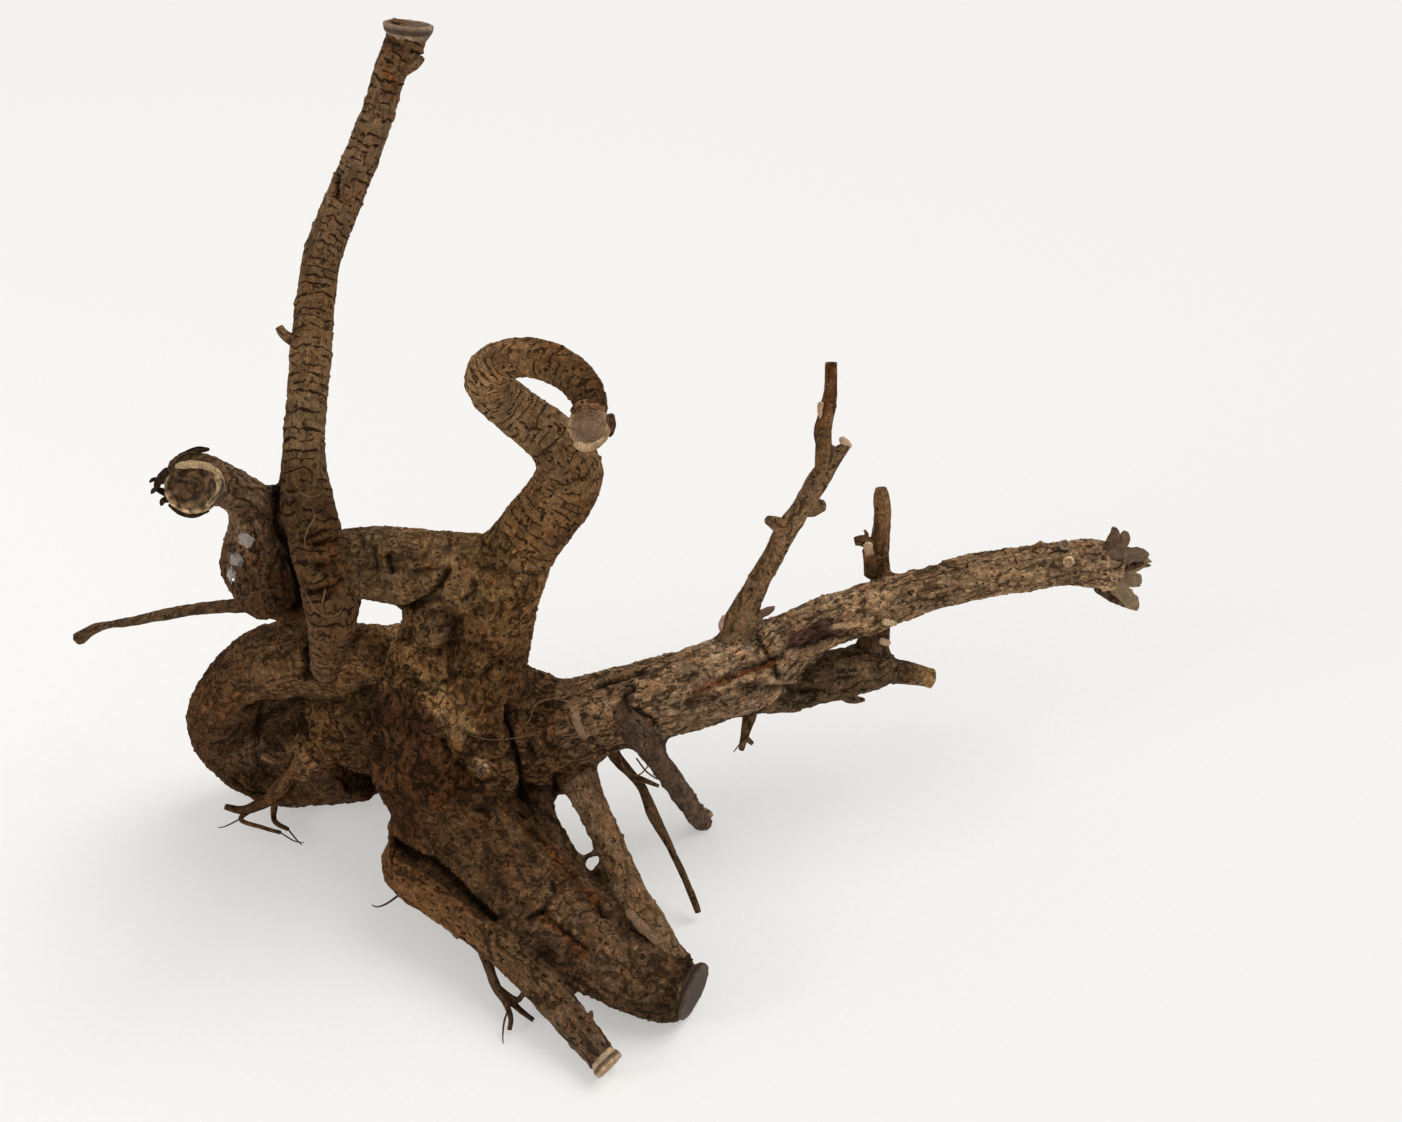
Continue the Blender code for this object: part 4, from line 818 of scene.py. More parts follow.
def press(places, height, half_width, route):
    """Lift of each place by a ridge along the route: height * exp(-(distance / half width)^2)."""
    lift = np.zeros(len(places))
    for start, end in zip(route, route[1:]):
        start, along = np.array(start), np.subtract(end, start)
        share = np.clip((places - start) @ along / (along @ along), 0, 1)
        apart = np.linalg.norm(places - start - share[:, None] * along, axis=1)
        lift = np.maximum(lift, np.exp(-((apart / half_width) ** 2)))
    return height * lift


def tones_of(name, share):
    """The limb's colours blended along its length, share running from 0 to 1."""
    tones = np.array(TONES.get(name) or TONES["other"])
    stops = np.linspace(0, 1, len(tones)) if len(tones) > 1 else np.array([0.0])
    return np.stack([np.interp(share, stops, tones[:, channel]) for channel in range(3)], axis=1)


@functools.lru_cache
def limb_routes():
    """The routes of all that is grown together in the skin."""
    routes = [Route(name, stations, 2) for name, stations in LIMBS.items()]
    routes += [Route(name, TWIGS[name], 2) for name in THICK_TWIGS]
    return routes


def limb_traits(places, chunk=20000, reach=32):
    """For each place its nearest limb's straightened coordinates, colour and marks. Limbs further off than
    reach are passed over."""
    count = len(places)
    best = np.full(count, 1e9)
    straight, tone, marks = np.zeros((count, 3)), np.zeros((count, 3)), np.zeros((count, 6))
    for number, route in enumerate(limb_routes()):
        low = route.points.min(0) - reach
        high = route.points.max(0) + reach
        near = np.flatnonzero(((places > low) & (places < high)).all(1))
        for part in np.array_split(near, len(near) // chunk + 1):
            gap, coordinates, share = route.nearest(places[part])
            closer = gap < best[part]
            part, gap, coordinates, share = part[closer], gap[closer], coordinates[closer], share[closer]
            best[part] = gap
            straight[part] = coordinates + (number * LIMBS_APART, 0, 0)
            tone[part] = tones_of(route.name, share)
            marks[part] = MARKS.get(route.name) or MARKS["other"]
    return straight, tone, marks


def bark_relief(places, straight, marks):
    """Height of the bark in millimetres: swellings, bent ridges, grain, cracks, swirls, flakes and small
    teeth."""
    rings, plates, grain, swirl, _, lumps = marks.T
    warp = np.stack([lattice_noise(places / 30, seed) for seed in (11, 12, 13)], axis=1)
    bent = places + warp * 12
    height = lumps * (0.9 * lattice_noise(places / 22, 1) + 0.7 * (0.4 - 2 * abs(lattice_noise(bent / 9, 2))))
    wobble = np.stack([lattice_noise(places / 7, seed) for seed in (21, 22, 23)], axis=1)
    lined = straight + wobble * 1.2
    height += grain * (
        0.3 * lattice_noise(lined / (15, 2.4, 2.4), 3) + 0.26 * lattice_noise(lined / (8, 1.3, 1.3), 4))
    turn = lined[:, 0] / 3.4 + 0.5 * lattice_noise(lined / (14, 6, 6), 5)
    arcs = np.clip(4 * lattice_noise(np.column_stack([np.floor(turn) * 5.3, lined[:, 1:] / 6]), 14), 0, 1)
    height -= rings * 0.45 * arcs * np.exp(-(((turn - np.floor(turn) - 0.5) / 0.09) ** 2))
    border, _, drawn = cells(lined / (8, 5.5, 5.5), 6)
    plateau = 0.5 * (drawn - 0.5) * np.clip(border / 0.12, 0, 1)
    height += 0.7 * plates * (plateau - 0.5 * np.exp(-((border / 0.06) ** 2)))
    coil = lattice_noise((places + wobble * 2.4) / 9, 7) * 5
    height += swirl * 0.34 * (1 - 4 * abs(coil - np.floor(coil) - 0.5))
    _, middle, drawn = cells(places / 3.4, 15)
    height += (0.5 + 0.6 * plates) * np.clip(1 - middle / 0.27, 0, 1) * (drawn > 0.45)
    height += (0.2 + 0.15 * plates) * lattice_noise(places / 1.9, 8) + 0.14 * lattice_noise(places / 1.1, 9)
    return height


def neighbourly(mesh, places, normals, rounds):
    """How far each place lies below its surroundings, in millimetres: the mean of its neighbours, taken
    again and again, less the place, measured along the normal."""
    ends = np.empty(len(mesh.edges) * 2, np.int32)
    mesh.edges.foreach_get("vertices", ends)
    one, other = ends.reshape(-1, 2).T
    size = len(places)
    count = np.bincount(one, minlength=size) + np.bincount(other, minlength=size)
    mean = places
    for _ in range(rounds):
        sums = [
            np.bincount(one, mean[other, axis], size) + np.bincount(other, mean[one, axis], size)
            for axis in range(3)]
        mean = np.stack(sums, axis=1) / count[:, None]
    return np.einsum("ij,ij->i", mean - places, normals)


def paint(places, tone, height):
    """Presses the furrows in and darkens them, partly as crack colour and partly as painted shade, raises the
    ridges and blends in the patches' colours and lifts, a few of them painted shade, each weighted by
    exp(-(distance / half width)^2), with ragged edges. A furrow runs along the skin's own places."""
    ragged = places + 0.55 * np.stack([lattice_noise(places / 2.6, seed) for seed in (51, 52, 53)], axis=1)
    for depth, half_width, shade, route in FURROWS:
        snapped = [places[np.argmin(((places - station) ** 2).sum(1))] for station in route]
        weight = press(ragged, 1, half_width, snapped)
        height = height - depth * weight
        tone = tone * (1 - 0.92 * shade * np.clip(1.25 * weight, 0, 1))[:, None]
    for rise, half_width, route in RIDGES:
        height = height + press(ragged, rise, half_width, route)
    for colour, strength, half_width, lift, route in PATCHES:
        weight = press(ragged, 1, half_width, route)
        height = height + lift * weight
        weight = (strength * np.clip(1.7 * weight, 0, 1))[:, None]
        tone = tone * (1 - weight) + np.array(colour) * weight
    return tone, height


def set_traits(mesh, straight, tone, marks, wet):
    """Stores the straightened limb coordinates, colour, marks and wetness on the mesh's points."""
    for name, kind, values in (
        ("limb_place", "FLOAT_VECTOR", straight),
        ("tint", "FLOAT_COLOR", np.column_stack([tone, np.ones(len(tone))])),
        ("marks", "FLOAT_COLOR", np.column_stack([marks[:, :3], np.ones(len(tone))])),
        ("swirl", "FLOAT", marks[:, 3]),
        ("pores", "FLOAT", marks[:, 4]),
        ("wet", "FLOAT", wet),
    ):
        layer = mesh.attributes.new(name, kind, "POINT")
        field = {"FLOAT_VECTOR": "vector", "FLOAT_COLOR": "color", "FLOAT": "value"}[kind]
        layer.data.foreach_set(field, np.ascontiguousarray(values, np.float32).ravel())


def wetness(places):
    """How wet each place is: the strongest of the wet places, 1 at its centre and 0 beyond its reach."""
    wet = np.zeros(len(places))
    for x, y, z, reach in WET:
        apart = np.linalg.norm(places - (x, y, z), axis=1)
        wet = np.maximum(wet, np.clip(1.6 - 1.6 * apart / reach, 0, 1))
    return wet


def closed_part(name, places, normals, quads):
    """A closed piece from some faces of the skin: each open border loop gets a fan to its middle, inside
    the wood. Also returns which of the skin's places it uses."""
    used, faces = np.unique(quads, return_inverse=True)
    faces = faces.reshape(quads.shape)
    ends = np.concatenate([np.stack([faces[:, i], faces[:, (i + 1) % 4]], axis=1) for i in range(4)])
    keys = ends[:, 0] * len(used) + ends[:, 1]
    twins = ends[:, 1] * len(used) + ends[:, 0]
    border = ends[~np.isin(keys, twins)]
    corners = places[used]
    follow = {}
    for start, end in border.tolist():
        follow.setdefault(start, []).append(end)
    fans, middles = [], []
    while follow:
        first = next(iter(follow))
        loop, at = [first], first
        while True:
            following = follow[at].pop()
            if not follow[at]:
                del follow[at]
            if following == first:
                break
            loop.append(following)
            at = following
        middle = len(used) + len(middles)
        middles.append(corners[loop].mean(0))
        fans += [(b, a, middle) for a, b in zip(loop, loop[1:] + loop[:1])]
    corners = np.concatenate([corners, middles]) if middles else corners
    piece = new_piece(name, corners, faces.tolist() + fans)
    facing = np.concatenate([normals[used], np.tile((0.0, 0.0, 1.0), (len(middles), 1))])
    piece.data.normals_split_custom_set_from_vertices(facing.astype(np.float32))
    return piece, used


def put_on_body(piece, material, replaces=False):
    """Gives a piece its finish, lets it ride on the body and, for the skin, stand for the modelled wood."""
    piece.data.materials.clear()
    piece.data.materials.append(material)
    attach(piece, "root")
    if replaces:
        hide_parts(NODE)


def lay_on_body(name, places, faces, straight, tone, marks, material):
    """A piece on the skin, with its traits stored, its finish given and no wetness."""
    piece = new_piece(name, places, faces)
    set_traits(piece.data, straight, tone, np.tile(marks, (len(places), 1)), np.zeros(len(places)))
    put_on_body(piece, material)


class DRIFTWOOD_OT_skin(bpy.types.Operator):
    """Grow the limbs together into one bark skin and cut it into four closed pieces"""

    bl_idname = "driftwood.skin"
    bl_label = "Bark skin"

    def execute(self, context):
        shapes = [tube(Route(name, stations, 3), 24) for name, stations in LIMBS.items()]
        shapes += [tube(Route(name, TWIGS[name], 3), 16) for name in THICK_TWIGS]
        shapes += [ball(*lump) for lump in LUMPS]
        shapes += [ball(x, y, z, radius, radius, radius, 16) for x, y, z, radius in KNOTS]
        whole = new_piece("skin_form", *gathered(shapes))
        grown = whole.modifiers.new("Grown together", "REMESH")
        grown.mode = "VOXEL"
        grown.voxel_size = sizes().skin_cell
        soft = whole.modifiers.new("Soft forks", "LAPLACIANSMOOTH")
        soft.iterations = 5
        soft.lambda_factor = 1.0
        soft.use_volume_preserve = True
        apply_modifiers(whole)
        places = mesh_places(whole.data)
        normals = mesh_normals(whole.data)
        for name, rounds, _ in HOLLOW_SHADE:
            layer = whole.data.attributes.new(name, "FLOAT", "POINT")
            below = neighbourly(whole.data, places, normals, rounds)
            layer.data.foreach_set("value", below.astype(np.float32))
        fine = whole.modifiers.new("Fine skin", "SUBSURF")
        fine.levels = 2
        fine.render_levels = 2
        apply_modifiers(whole)
        places = mesh_places(whole.data)
        normals = mesh_normals(whole.data)
        straight, tone, marks = limb_traits(places)
        height = bark_relief(places, straight, marks)
        # Painted shade: the colour is lightened on raised bark and darkened where it is sunk, then darkened
        # in creases and dells.
        hollow = np.clip(0.95 + 0.5 * height, 0.35, 1.4)
        for name, _, strength in HOLLOW_SHADE:
            below = np.empty(len(places), np.float32)
            whole.data.attributes[name].data.foreach_get("value", below)
            hollow = hollow / (1 + strength * np.clip(below, 0, 4))
        tone = tone * (hollow * (1 + 0.14 * lattice_noise(places / 8, 31)))[:, None]
        tone, height = paint(places, tone, height)
        places = on_floor(places + normals * (height * sizes().bark_relief)[:, None])
        whole.data.vertices.foreach_set("co", (places * MM).ravel())
        whole.data.update()
        normals = mesh_normals(whole.data)
        wet = wetness(places)
        corners = np.empty(len(whole.data.loops), np.int32)
        whole.data.loops.foreach_get("vertex_index", corners)
        quads = corners.reshape(-1, 4)
        middle = places[quads].mean(1)
        right = middle[:, 0] > RIGHT_OF
        upper = ~right & (middle[:, 2] > ABOVE)
        left = ~right & ~upper & (middle[:, 0] < LEFT_OF)
        for name, chosen in (
            ("bark_right", right),
            ("bark_upper", upper),
            ("bark_left", left),
            ("bark_middle", ~(right | upper | left)),
        ):
            piece, used = closed_part(name, places, normals, quads[chosen])
            extra = len(piece.data.vertices) - len(used)
            padded = [
                np.concatenate([values[used], np.zeros((extra, *values.shape[1:]))])
                for values in (straight, tone, marks, wet)]
            set_traits(piece.data, *padded)
            put_on_body(piece, bark_finish(), replaces=True)
        bpy.data.objects.remove(whole)
        return {"FINISHED"}


class DRIFTWOOD_OT_rootlets(bpy.types.Operator):
    """Sweep the twigs, thorns and thin roots and sink them into the skin"""

    bl_idname = "driftwood.rootlets"
    bl_label = "Twigs and rootlets"

    def execute(self, context):
        for seed, (name, stations) in enumerate(TWIGS.items()):
            route = Route(name, stations, 0.9)
            if name in THICK_TWIGS:
                route.radii = route.radii * 0.9
            turns = 24 if route.radii.max() > 3 else 14
            places, walls, caps = tube(route, turns, 0.16, TWIG_SEED + seed)
            places = on_floor(places)
            _, straight, share = route.nearest(places)
            straight = straight + (seed * TWIGS_APART, 0, 0)
            tone = tones_of(name if name in TONES else name.rsplit("_", 1)[0], share)
            tone = tone * (1 + 0.3 * lattice_noise(places / 5, 41))[:, None]
            marks = MARKS.get(name) or MARKS["other"]
            lay_on_body(name, places, walls.tolist() + caps.tolist(), straight, tone, marks, bark_finish())
        return {"FINISHED"}


class DRIFTWOOD_OT_cuts(bpy.types.Operator):
    """Turn the sawn faces, the hollow crater and the pale knots"""

    bl_idname = "driftwood.cuts"
    bl_label = "Cut faces and knots"

    def execute(self, context):
        for seed, (name, profile, centre, axis, radius, middle, rim) in enumerate(CUTS):
            rough = 0.5 if profile is HOLLOW else 0.12
            swirl_strength = 1.6 if profile is HOLLOW else 0.3
            turns = 96 if radius > 5 else 40
            places, walls, caps, share, local = turned(
                profile, centre, axis, radius, turns, CUT_SEED + 5 * seed, 0.07, rough)
            places = on_floor(places)
            edge = share + 0.16 * lattice_noise(places / 3, 61)
            blend = np.clip((edge - 0.72) / 0.16, 0, 1)[:, None]
            bark = np.clip((-0.3 - local[:, 2]) / 0.8, 0, 1)[:, None] * (share > 0.96)[:, None]
            tone = np.array(middle) * (1 - blend) + np.array(rim) * blend
            tone = tone * (1 - bark) + np.array(rim) * 0.25 * bark
            swirls = lattice_noise((places + 3 * lattice_noise(places / 4, 63)[:, None]) / 2.4, 62)
            tone = tone * (1 + swirl_strength * np.clip(swirls, -0.45, 0.7))[:, None]
            lay_on_body(name, places, walls.tolist() + caps.tolist(), local, tone, NO_MARKS, cut_finish())
        return {"FINISHED"}


class DRIFTWOOD_OT_blades(bpy.types.Operator):
    """Lay the torn splinters and the lifted flaps of bark"""

    bl_idname = "driftwood.blades"
    bl_label = "Splinters and bark flaps"

    def execute(self, context):
        for seed, (half_width, thickness, facing, colour, stations) in enumerate(BLADES):
            route = Route("blade", [(*station, half_width) for station in stations], 0.45, facing)
            places, walls, caps = blade(route, half_width, thickness, 32, BLADE_SEED + 3 * seed)
            _, local, _ = route.nearest(places)
            tone = np.array(colour) * (1 + 0.35 * lattice_noise(places / 2, 71))[:, None]
            finish = cut_finish() if min(colour) > 0.03 else bark_finish()
            name = f"splinter_{seed + 1}"
            lay_on_body(name, places, walls.tolist() + caps.tolist(), local, tone, BLADE_MARKS, finish)
        return {"FINISHED"}


def laid_on_bark(stations, most, sunk=0.8):
    """Moves each place straight in towards its nearest limb: the two ends as far as sunk into it, the
    rest to at most so many millimetres off it."""
    laid = []
    for place in np.array(stations, float):
        gap, number = min(
            (route.nearest(place[None])[0][0], number) for number, route in enumerate(limb_routes()))
        route = limb_routes()[number]
        centre = route.points[np.argmin(np.linalg.norm(route.points - place, axis=1) - route.radii)]
        away = (place - centre) / np.linalg.norm(place - centre)
        reach = -sunk if len(laid) in (0, len(stations) - 1) else min(gap, most)
        laid.append(place - away * (gap - reach))
    return laid


class DRIFTWOOD_OT_fibres(bpy.types.Operator):
    """Draw the loose straw fibres and hair roots"""

    bl_idname = "driftwood.fibres"
    bl_label = "Loose fibres"

    def execute(self, context):
        shapes, tones, straights = [], [], []
        for seed, (thickness, colour, stations) in enumerate(FIBRES):
            if colour == STRAW:
                stations = laid_on_bark(stations, 1.2)
            route = Route("fibre", [(*station, thickness) for station in stations], 0.5)
            route.radii = thickness * (1 - 0.6 * np.linspace(0, 1, len(route.points)) ** 3)
            shape = tube(route, 8, 0.2, FIBRE_SEED + seed)
            shapes.append(shape)
            straights.append(route.nearest(shape[0])[1])
            tones.append(np.tile(colour, (len(shape[0]), 1)))
        places, faces = gathered(shapes)
        straight = np.concatenate(straights)
        tone = np.concatenate(tones)
        lay_on_body("fibres", on_floor(places), faces, straight, tone, FIBRE_MARKS, bark_finish())
        return {"FINISHED"}


class Finish:
    """A node material under construction. Each method adds one node and returns the socket that carries
    its result."""

    def __init__(self, name):
        self.material = bpy.data.materials.new(name)
        self.material.use_nodes = True
        self.tree = self.material.node_tree
        self.shader = self.tree.nodes["Principled BSDF"]

    def set(self, socket, value):
        if isinstance(value, bpy.types.NodeSocket):
            self.tree.links.new(value, socket)
        else:
            socket.default_value = value

    def node(self, kind, output, inputs, **settings):
        made = self.tree.nodes.new(kind)
        for name, value in settings.items():
            setattr(made, name, value)
        for name, value in inputs.items():
            self.set(made.inputs[name], value)
        return made.outputs[output]

    def math(self, operation, a, b=0.0):
        return self.node("ShaderNodeMath", 0, {0: a, 1: b}, operation=operation)

    def chain(self, operation, values):
        value = values[0]
        for other in values[1:]:
            value = self.math(operation, value, other)
        return value

    def total(self, *values):
        return self.chain("ADD", values)

    def product(self, *values):
        return self.chain("MULTIPLY", values)

    def most(self, *values):
        return self.chain("MAXIMUM", values)

    def mix(self, factor, a, b, blend="MIX"):
        inputs = {0: factor, 6: a, 7: b}
        return self.node("ShaderNodeMix", 2, inputs, data_type="RGBA", blend_type=blend)

    def stored(self, name, output):
        return self.node("ShaderNodeAttribute", output, {}, attribute_name=name)

    def vector(self, operation, a, b):
        return self.node("ShaderNodeVectorMath", 0, {0: a, 1: b}, operation=operation)

    def stretched(self, vector, x, y, z):
        return self.vector("MULTIPLY", vector, (x, y, z))

    def split(self, vector):
        return self.node("ShaderNodeSeparateXYZ", 0, {0: vector}).node.outputs

    def joined(self, x, y, z):
        return self.node("ShaderNodeCombineXYZ", 0, {0: x, 1: y, 2: z})

    def object_place(self):
        """Object coordinates in millimetres."""
        return self.vector("MULTIPLY", self.node("ShaderNodeTexCoord", "Object", {}), (1 / MM,) * 3)

    def noise(self, vector, scale, detail=3.0, roughness=0.55):
        inputs = {"Vector": vector, "Scale": scale, "Detail": detail, "Roughness": roughness}
        return self.node("ShaderNodeTexNoise", "Fac", inputs)

    def cells(self, vector, feature="DISTANCE_TO_EDGE"):
        inputs = {"Vector": vector, "Scale": 1.0}
        return self.node("ShaderNodeTexVoronoi", "Distance", inputs, feature=feature)

    def between(self, value, low, high, start=0.0, end=1.0):
        """The value moved from low..high to start..end and held there."""
        inputs = {"Value": value, "From Min": low, "From Max": high, "To Min": start, "To Max": end}
        return self.node("ShaderNodeMapRange", 0, inputs, clamp=True)

    def band(self, value, inner, outer):
        """1 within inner of each whole number and a half, fading to 0 at outer."""
        away = self.math("ABSOLUTE", self.math("SUBTRACT", self.math("FRACT", value), 0.5))
        return self.between(away, inner, outer, 1.0, 0.0)

    def grey(self, value):
        return self.node("ShaderNodeCombineColor", 0, {0: value, 1: value, 2: value})

    def bump(self, height, distance, strength=1.0):
        return self.node("ShaderNodeBump", 0, {"Height": height, "Distance": distance, "Strength": strength})


def bark_finish():
    """Weathered bark: the stored tint, darkened in rings, plates, pores and swirled grooves, with fibres
    along each limb and a wet shine where the stored wetness says so."""
    made = bpy.data.materials.get("root bark skin")
    if made:
        return made
    finish = Finish("root bark skin")
    place = finish.object_place()
    straight = finish.stored("limb_place", "Vector")
    tint = finish.stored("tint", "Color")
    stored = finish.stored("marks", "Color")
    weights = finish.node("ShaderNodeSeparateColor", 0, {"Color": stored}).node.outputs
    swirl = finish.stored("swirl", "Fac")
    pores = finish.stored("pores", "Fac")
    wet = finish.stored("wet", "Fac")
    drift = finish.node("ShaderNodeTexNoise", "Color", {"Vector": place, "Scale": 0.25, "Detail": 3.0})
    drift = finish.stretched(finish.vector("SUBTRACT", drift, (0.5, 0.5, 0.5)), 3.4, 3.4, 3.4)
    lined = finish.vector("ADD", straight, drift)
    along, across, over = finish.split(lined)
    fibre = finish.noise(finish.stretched(lined, 0.09, 0.8, 0.8), 1.0, 4.0, 0.65)
    hair = finish.noise(finish.stretched(lined, 0.25, 2.6, 2.6), 1.0, 2.0, 0.6)
    mottle = finish.noise(place, 0.16, 4.0, 0.65)
    crumb = finish.noise(place, 0.62, 4.0, 0.7)
    grit = finish.noise(place, 1.9, 3.0, 0.65)
    warmth = finish.noise(finish.vector("ADD", place, (90.0, 40.0, 10.0)), 0.16, 4.0, 0.65)

    turn = finish.total(finish.product(along, 0.34), finish.product(finish.noise(lined, 0.14, 2.0), 1.6))
    arc = finish.joined(
        finish.product(finish.math("FLOOR", turn), 3.7),
        finish.product(across, 0.22),
        finish.product(over, 0.22))
    arc = finish.between(finish.noise(arc, 1.0, 2.0), 0.44, 0.51)
    ring = finish.product(finish.band(turn, 0.06, 0.14), arc, weights[0])
    border = finish.cells(finish.stretched(lined, 0.15, 0.24, 0.24))
    plate = finish.product(finish.between(border, 0.03, 0.08, 1.0, 0.0), weights[1])
    plate = finish.product(plate, finish.between(finish.noise(place, 0.2, 2.0), 0.5, 0.56))
    dash = finish.cells(finish.stretched(lined, 0.3, 0.62, 0.62), "F1")
    dash = finish.product(finish.between(dash, 0.2, 0.3, 1.0, 0.0), pores, finish.between(mottle, 0.42, 0.52))
    bent = finish.vector("ADD", place, finish.stretched(drift, 1.2, 1.2, 1.2))
    worm = finish.product(finish.noise(bent, 0.1, 2.0, 0.5), 5.4)
    flow = finish.product(finish.noise(finish.stretched(lined, 0.03, 0.13, 0.13), 1.0, 2.0, 0.5), 4.6)
    broken = finish.between(finish.noise(place, 0.3, 1.0, 0.5), 0.4, 0.46)
    groove = finish.most(finish.band(worm, 0.07, 0.18), finish.product(finish.band(flow, 0.06, 0.16), 0.85))
    groove = finish.product(groove, swirl, broken)
    ridge = finish.band(finish.total(worm, 0.5), 0.0, 0.2)
    ridge = finish.product(ridge, swirl, finish.between(crumb, 0.42, 0.56))
    streak = finish.product(finish.band(flow, 0.06, 0.16), weights[2], broken)
    speck = finish.between(finish.noise(place, 0.5, 2.0, 0.5), 0.63, 0.68)
    fleck = finish.between(finish.noise(finish.stretched(lined, 0.5, 1.1, 1.1), 1.0, 3.0, 0.6), 0.66, 0.74)

    calm = finish.math("SUBTRACT", 1.0, finish.product(weights[0], 0.55))
    patchy = finish.between(mottle, 0.3, 0.7, -0.26, 0.3)
    crumbly = finish.between(crumb, 0.3, 0.7, -0.32, 0.34)
    shade = finish.product(
        finish.total(1.0, finish.product(patchy, calm)), finish.total(1.0, finish.product(crumbly, calm)),
        finish.between(grit, 0.3, 0.7, 0.76, 1.24),
        finish.total(1.0, finish.product(finish.between(fibre, 0.32, 0.68, -0.42, 0.42), weights[2])),
        finish.total(1.0, finish.product(finish.between(hair, 0.3, 0.7, -0.4, 0.4), weights[2])),
        finish.total(1.0, finish.product(ridge, 0.9)), sizes().tone_gain)
    colour = finish.mix(1.0, tint, finish.grey(shade), "MULTIPLY")
    rusty = finish.mix(1.0, colour, (1.16, 0.88, 0.66, 1), "MULTIPLY")
    colour = finish.mix(finish.between(warmth, 0.47, 0.65, 0.0, 0.55), colour, rusty)
    pale = finish.mix(1.0, colour, (2.4, 2.5, 2.6, 1), "MULTIPLY")
    colour = finish.mix(finish.product(fleck, 0.6), colour, pale)
    dark = finish.most(
        ring, plate, dash,
        finish.product(groove, 0.9),
        finish.product(streak, 0.85),
        finish.product(speck, 0.9))
    colour = finish.mix(finish.product(dark, 0.92), colour, (*colours().crack, 1))
    finish.set(finish.shader.inputs["Base Color"], colour)
    roughness = finish.between(crumb, 0.3, 0.7, 0.7, 0.95)
    roughness = finish.math("SUBTRACT", roughness, finish.product(wet, 0.12))
    finish.set(finish.shader.inputs["Roughness"], roughness)
    finish.shader.inputs["Specular IOR Level"].default_value = 0.08
    finish.shader.inputs["Specular Tint"].default_value = (1.0, 0.75, 0.5, 1.0)
    gloss = finish.total(wet, finish.between(crumb, 0.3, 0.7, -0.35, 0.35))
    gloss = finish.product(finish.between(gloss, 0.5, 0.6), finish.between(wet, 0.0, 0.1))
    finish.set(finish.shader.inputs["Coat Weight"], gloss)
    finish.shader.inputs["Coat IOR"].default_value = 2.2
    finish.shader.inputs["Coat Roughness"].default_value = 0.12
    relief = finish.total(
        finish.product(fibre, 1.0),
        finish.product(hair, 0.4),
        finish.product(crumb, 1.3),
        finish.product(grit, 0.4),
        finish.product(ridge, 0.4), finish.product(dark, -1.0))
    finish.set(finish.shader.inputs["Normal"], finish.bump(relief, 1.5 * MM, 1.0))
    return finish.material


def cut_finish():
    """Sawn or torn wood: the stored tint with fine rings round the pith, a few cracks out from it, and
    dry pores."""
    made = bpy.data.materials.get("cut wood")
    if made:
        return made
    finish = Finish("cut wood")
    place = finish.object_place()
    local = finish.stored("limb_place", "Vector")
    tint = finish.stored("tint", "Color")
    x, y, _ = finish.split(local)
    out = finish.math("SQRT", finish.total(finish.product(x, x), finish.product(y, y)))
    drift = finish.noise(place, 0.35, 3.0)
    ring = finish.band(finish.total(finish.product(out, 1.1), finish.product(drift, 2.5)), 0.0, 0.45)
    grain = finish.noise(finish.stretched(local, 1.8, 1.8, 0.4), 1.0, 4.0, 0.65)
    blotch = finish.noise(place, 0.3, 4.0, 0.6)
    crack = finish.cells(finish.stretched(local, 0.28, 0.28, 0.28))
    crack = finish.product(finish.between(crack, 0.0, 0.035, 1.0, 0.0), finish.between(blotch, 0.45, 0.6))
    shade = finish.product(
        finish.between(ring, 0.0, 1.0, 1.1, 0.82), finish.between(grain, 0.3, 0.7, 0.75, 1.25),
        finish.between(blotch, 0.3, 0.7, 0.65, 1.3), sizes().cut_gain)
    colour = finish.mix(1.0, tint, finish.grey(shade), "MULTIPLY")
    colour = finish.mix(finish.product(crack, 0.8), colour, (*colours().crack, 1))
    finish.set(finish.shader.inputs["Base Color"], colour)
    finish.set(finish.shader.inputs["Roughness"], finish.between(grain, 0.3, 0.7, 0.5, 0.8))
    finish.shader.inputs["Specular IOR Level"].default_value = 0.25
    relief = finish.total(grain, finish.product(ring, 0.25), finish.product(crack, -0.8))
    finish.set(finish.shader.inputs["Normal"], finish.bump(relief, 0.5 * MM, 0.8))
    return finish.material


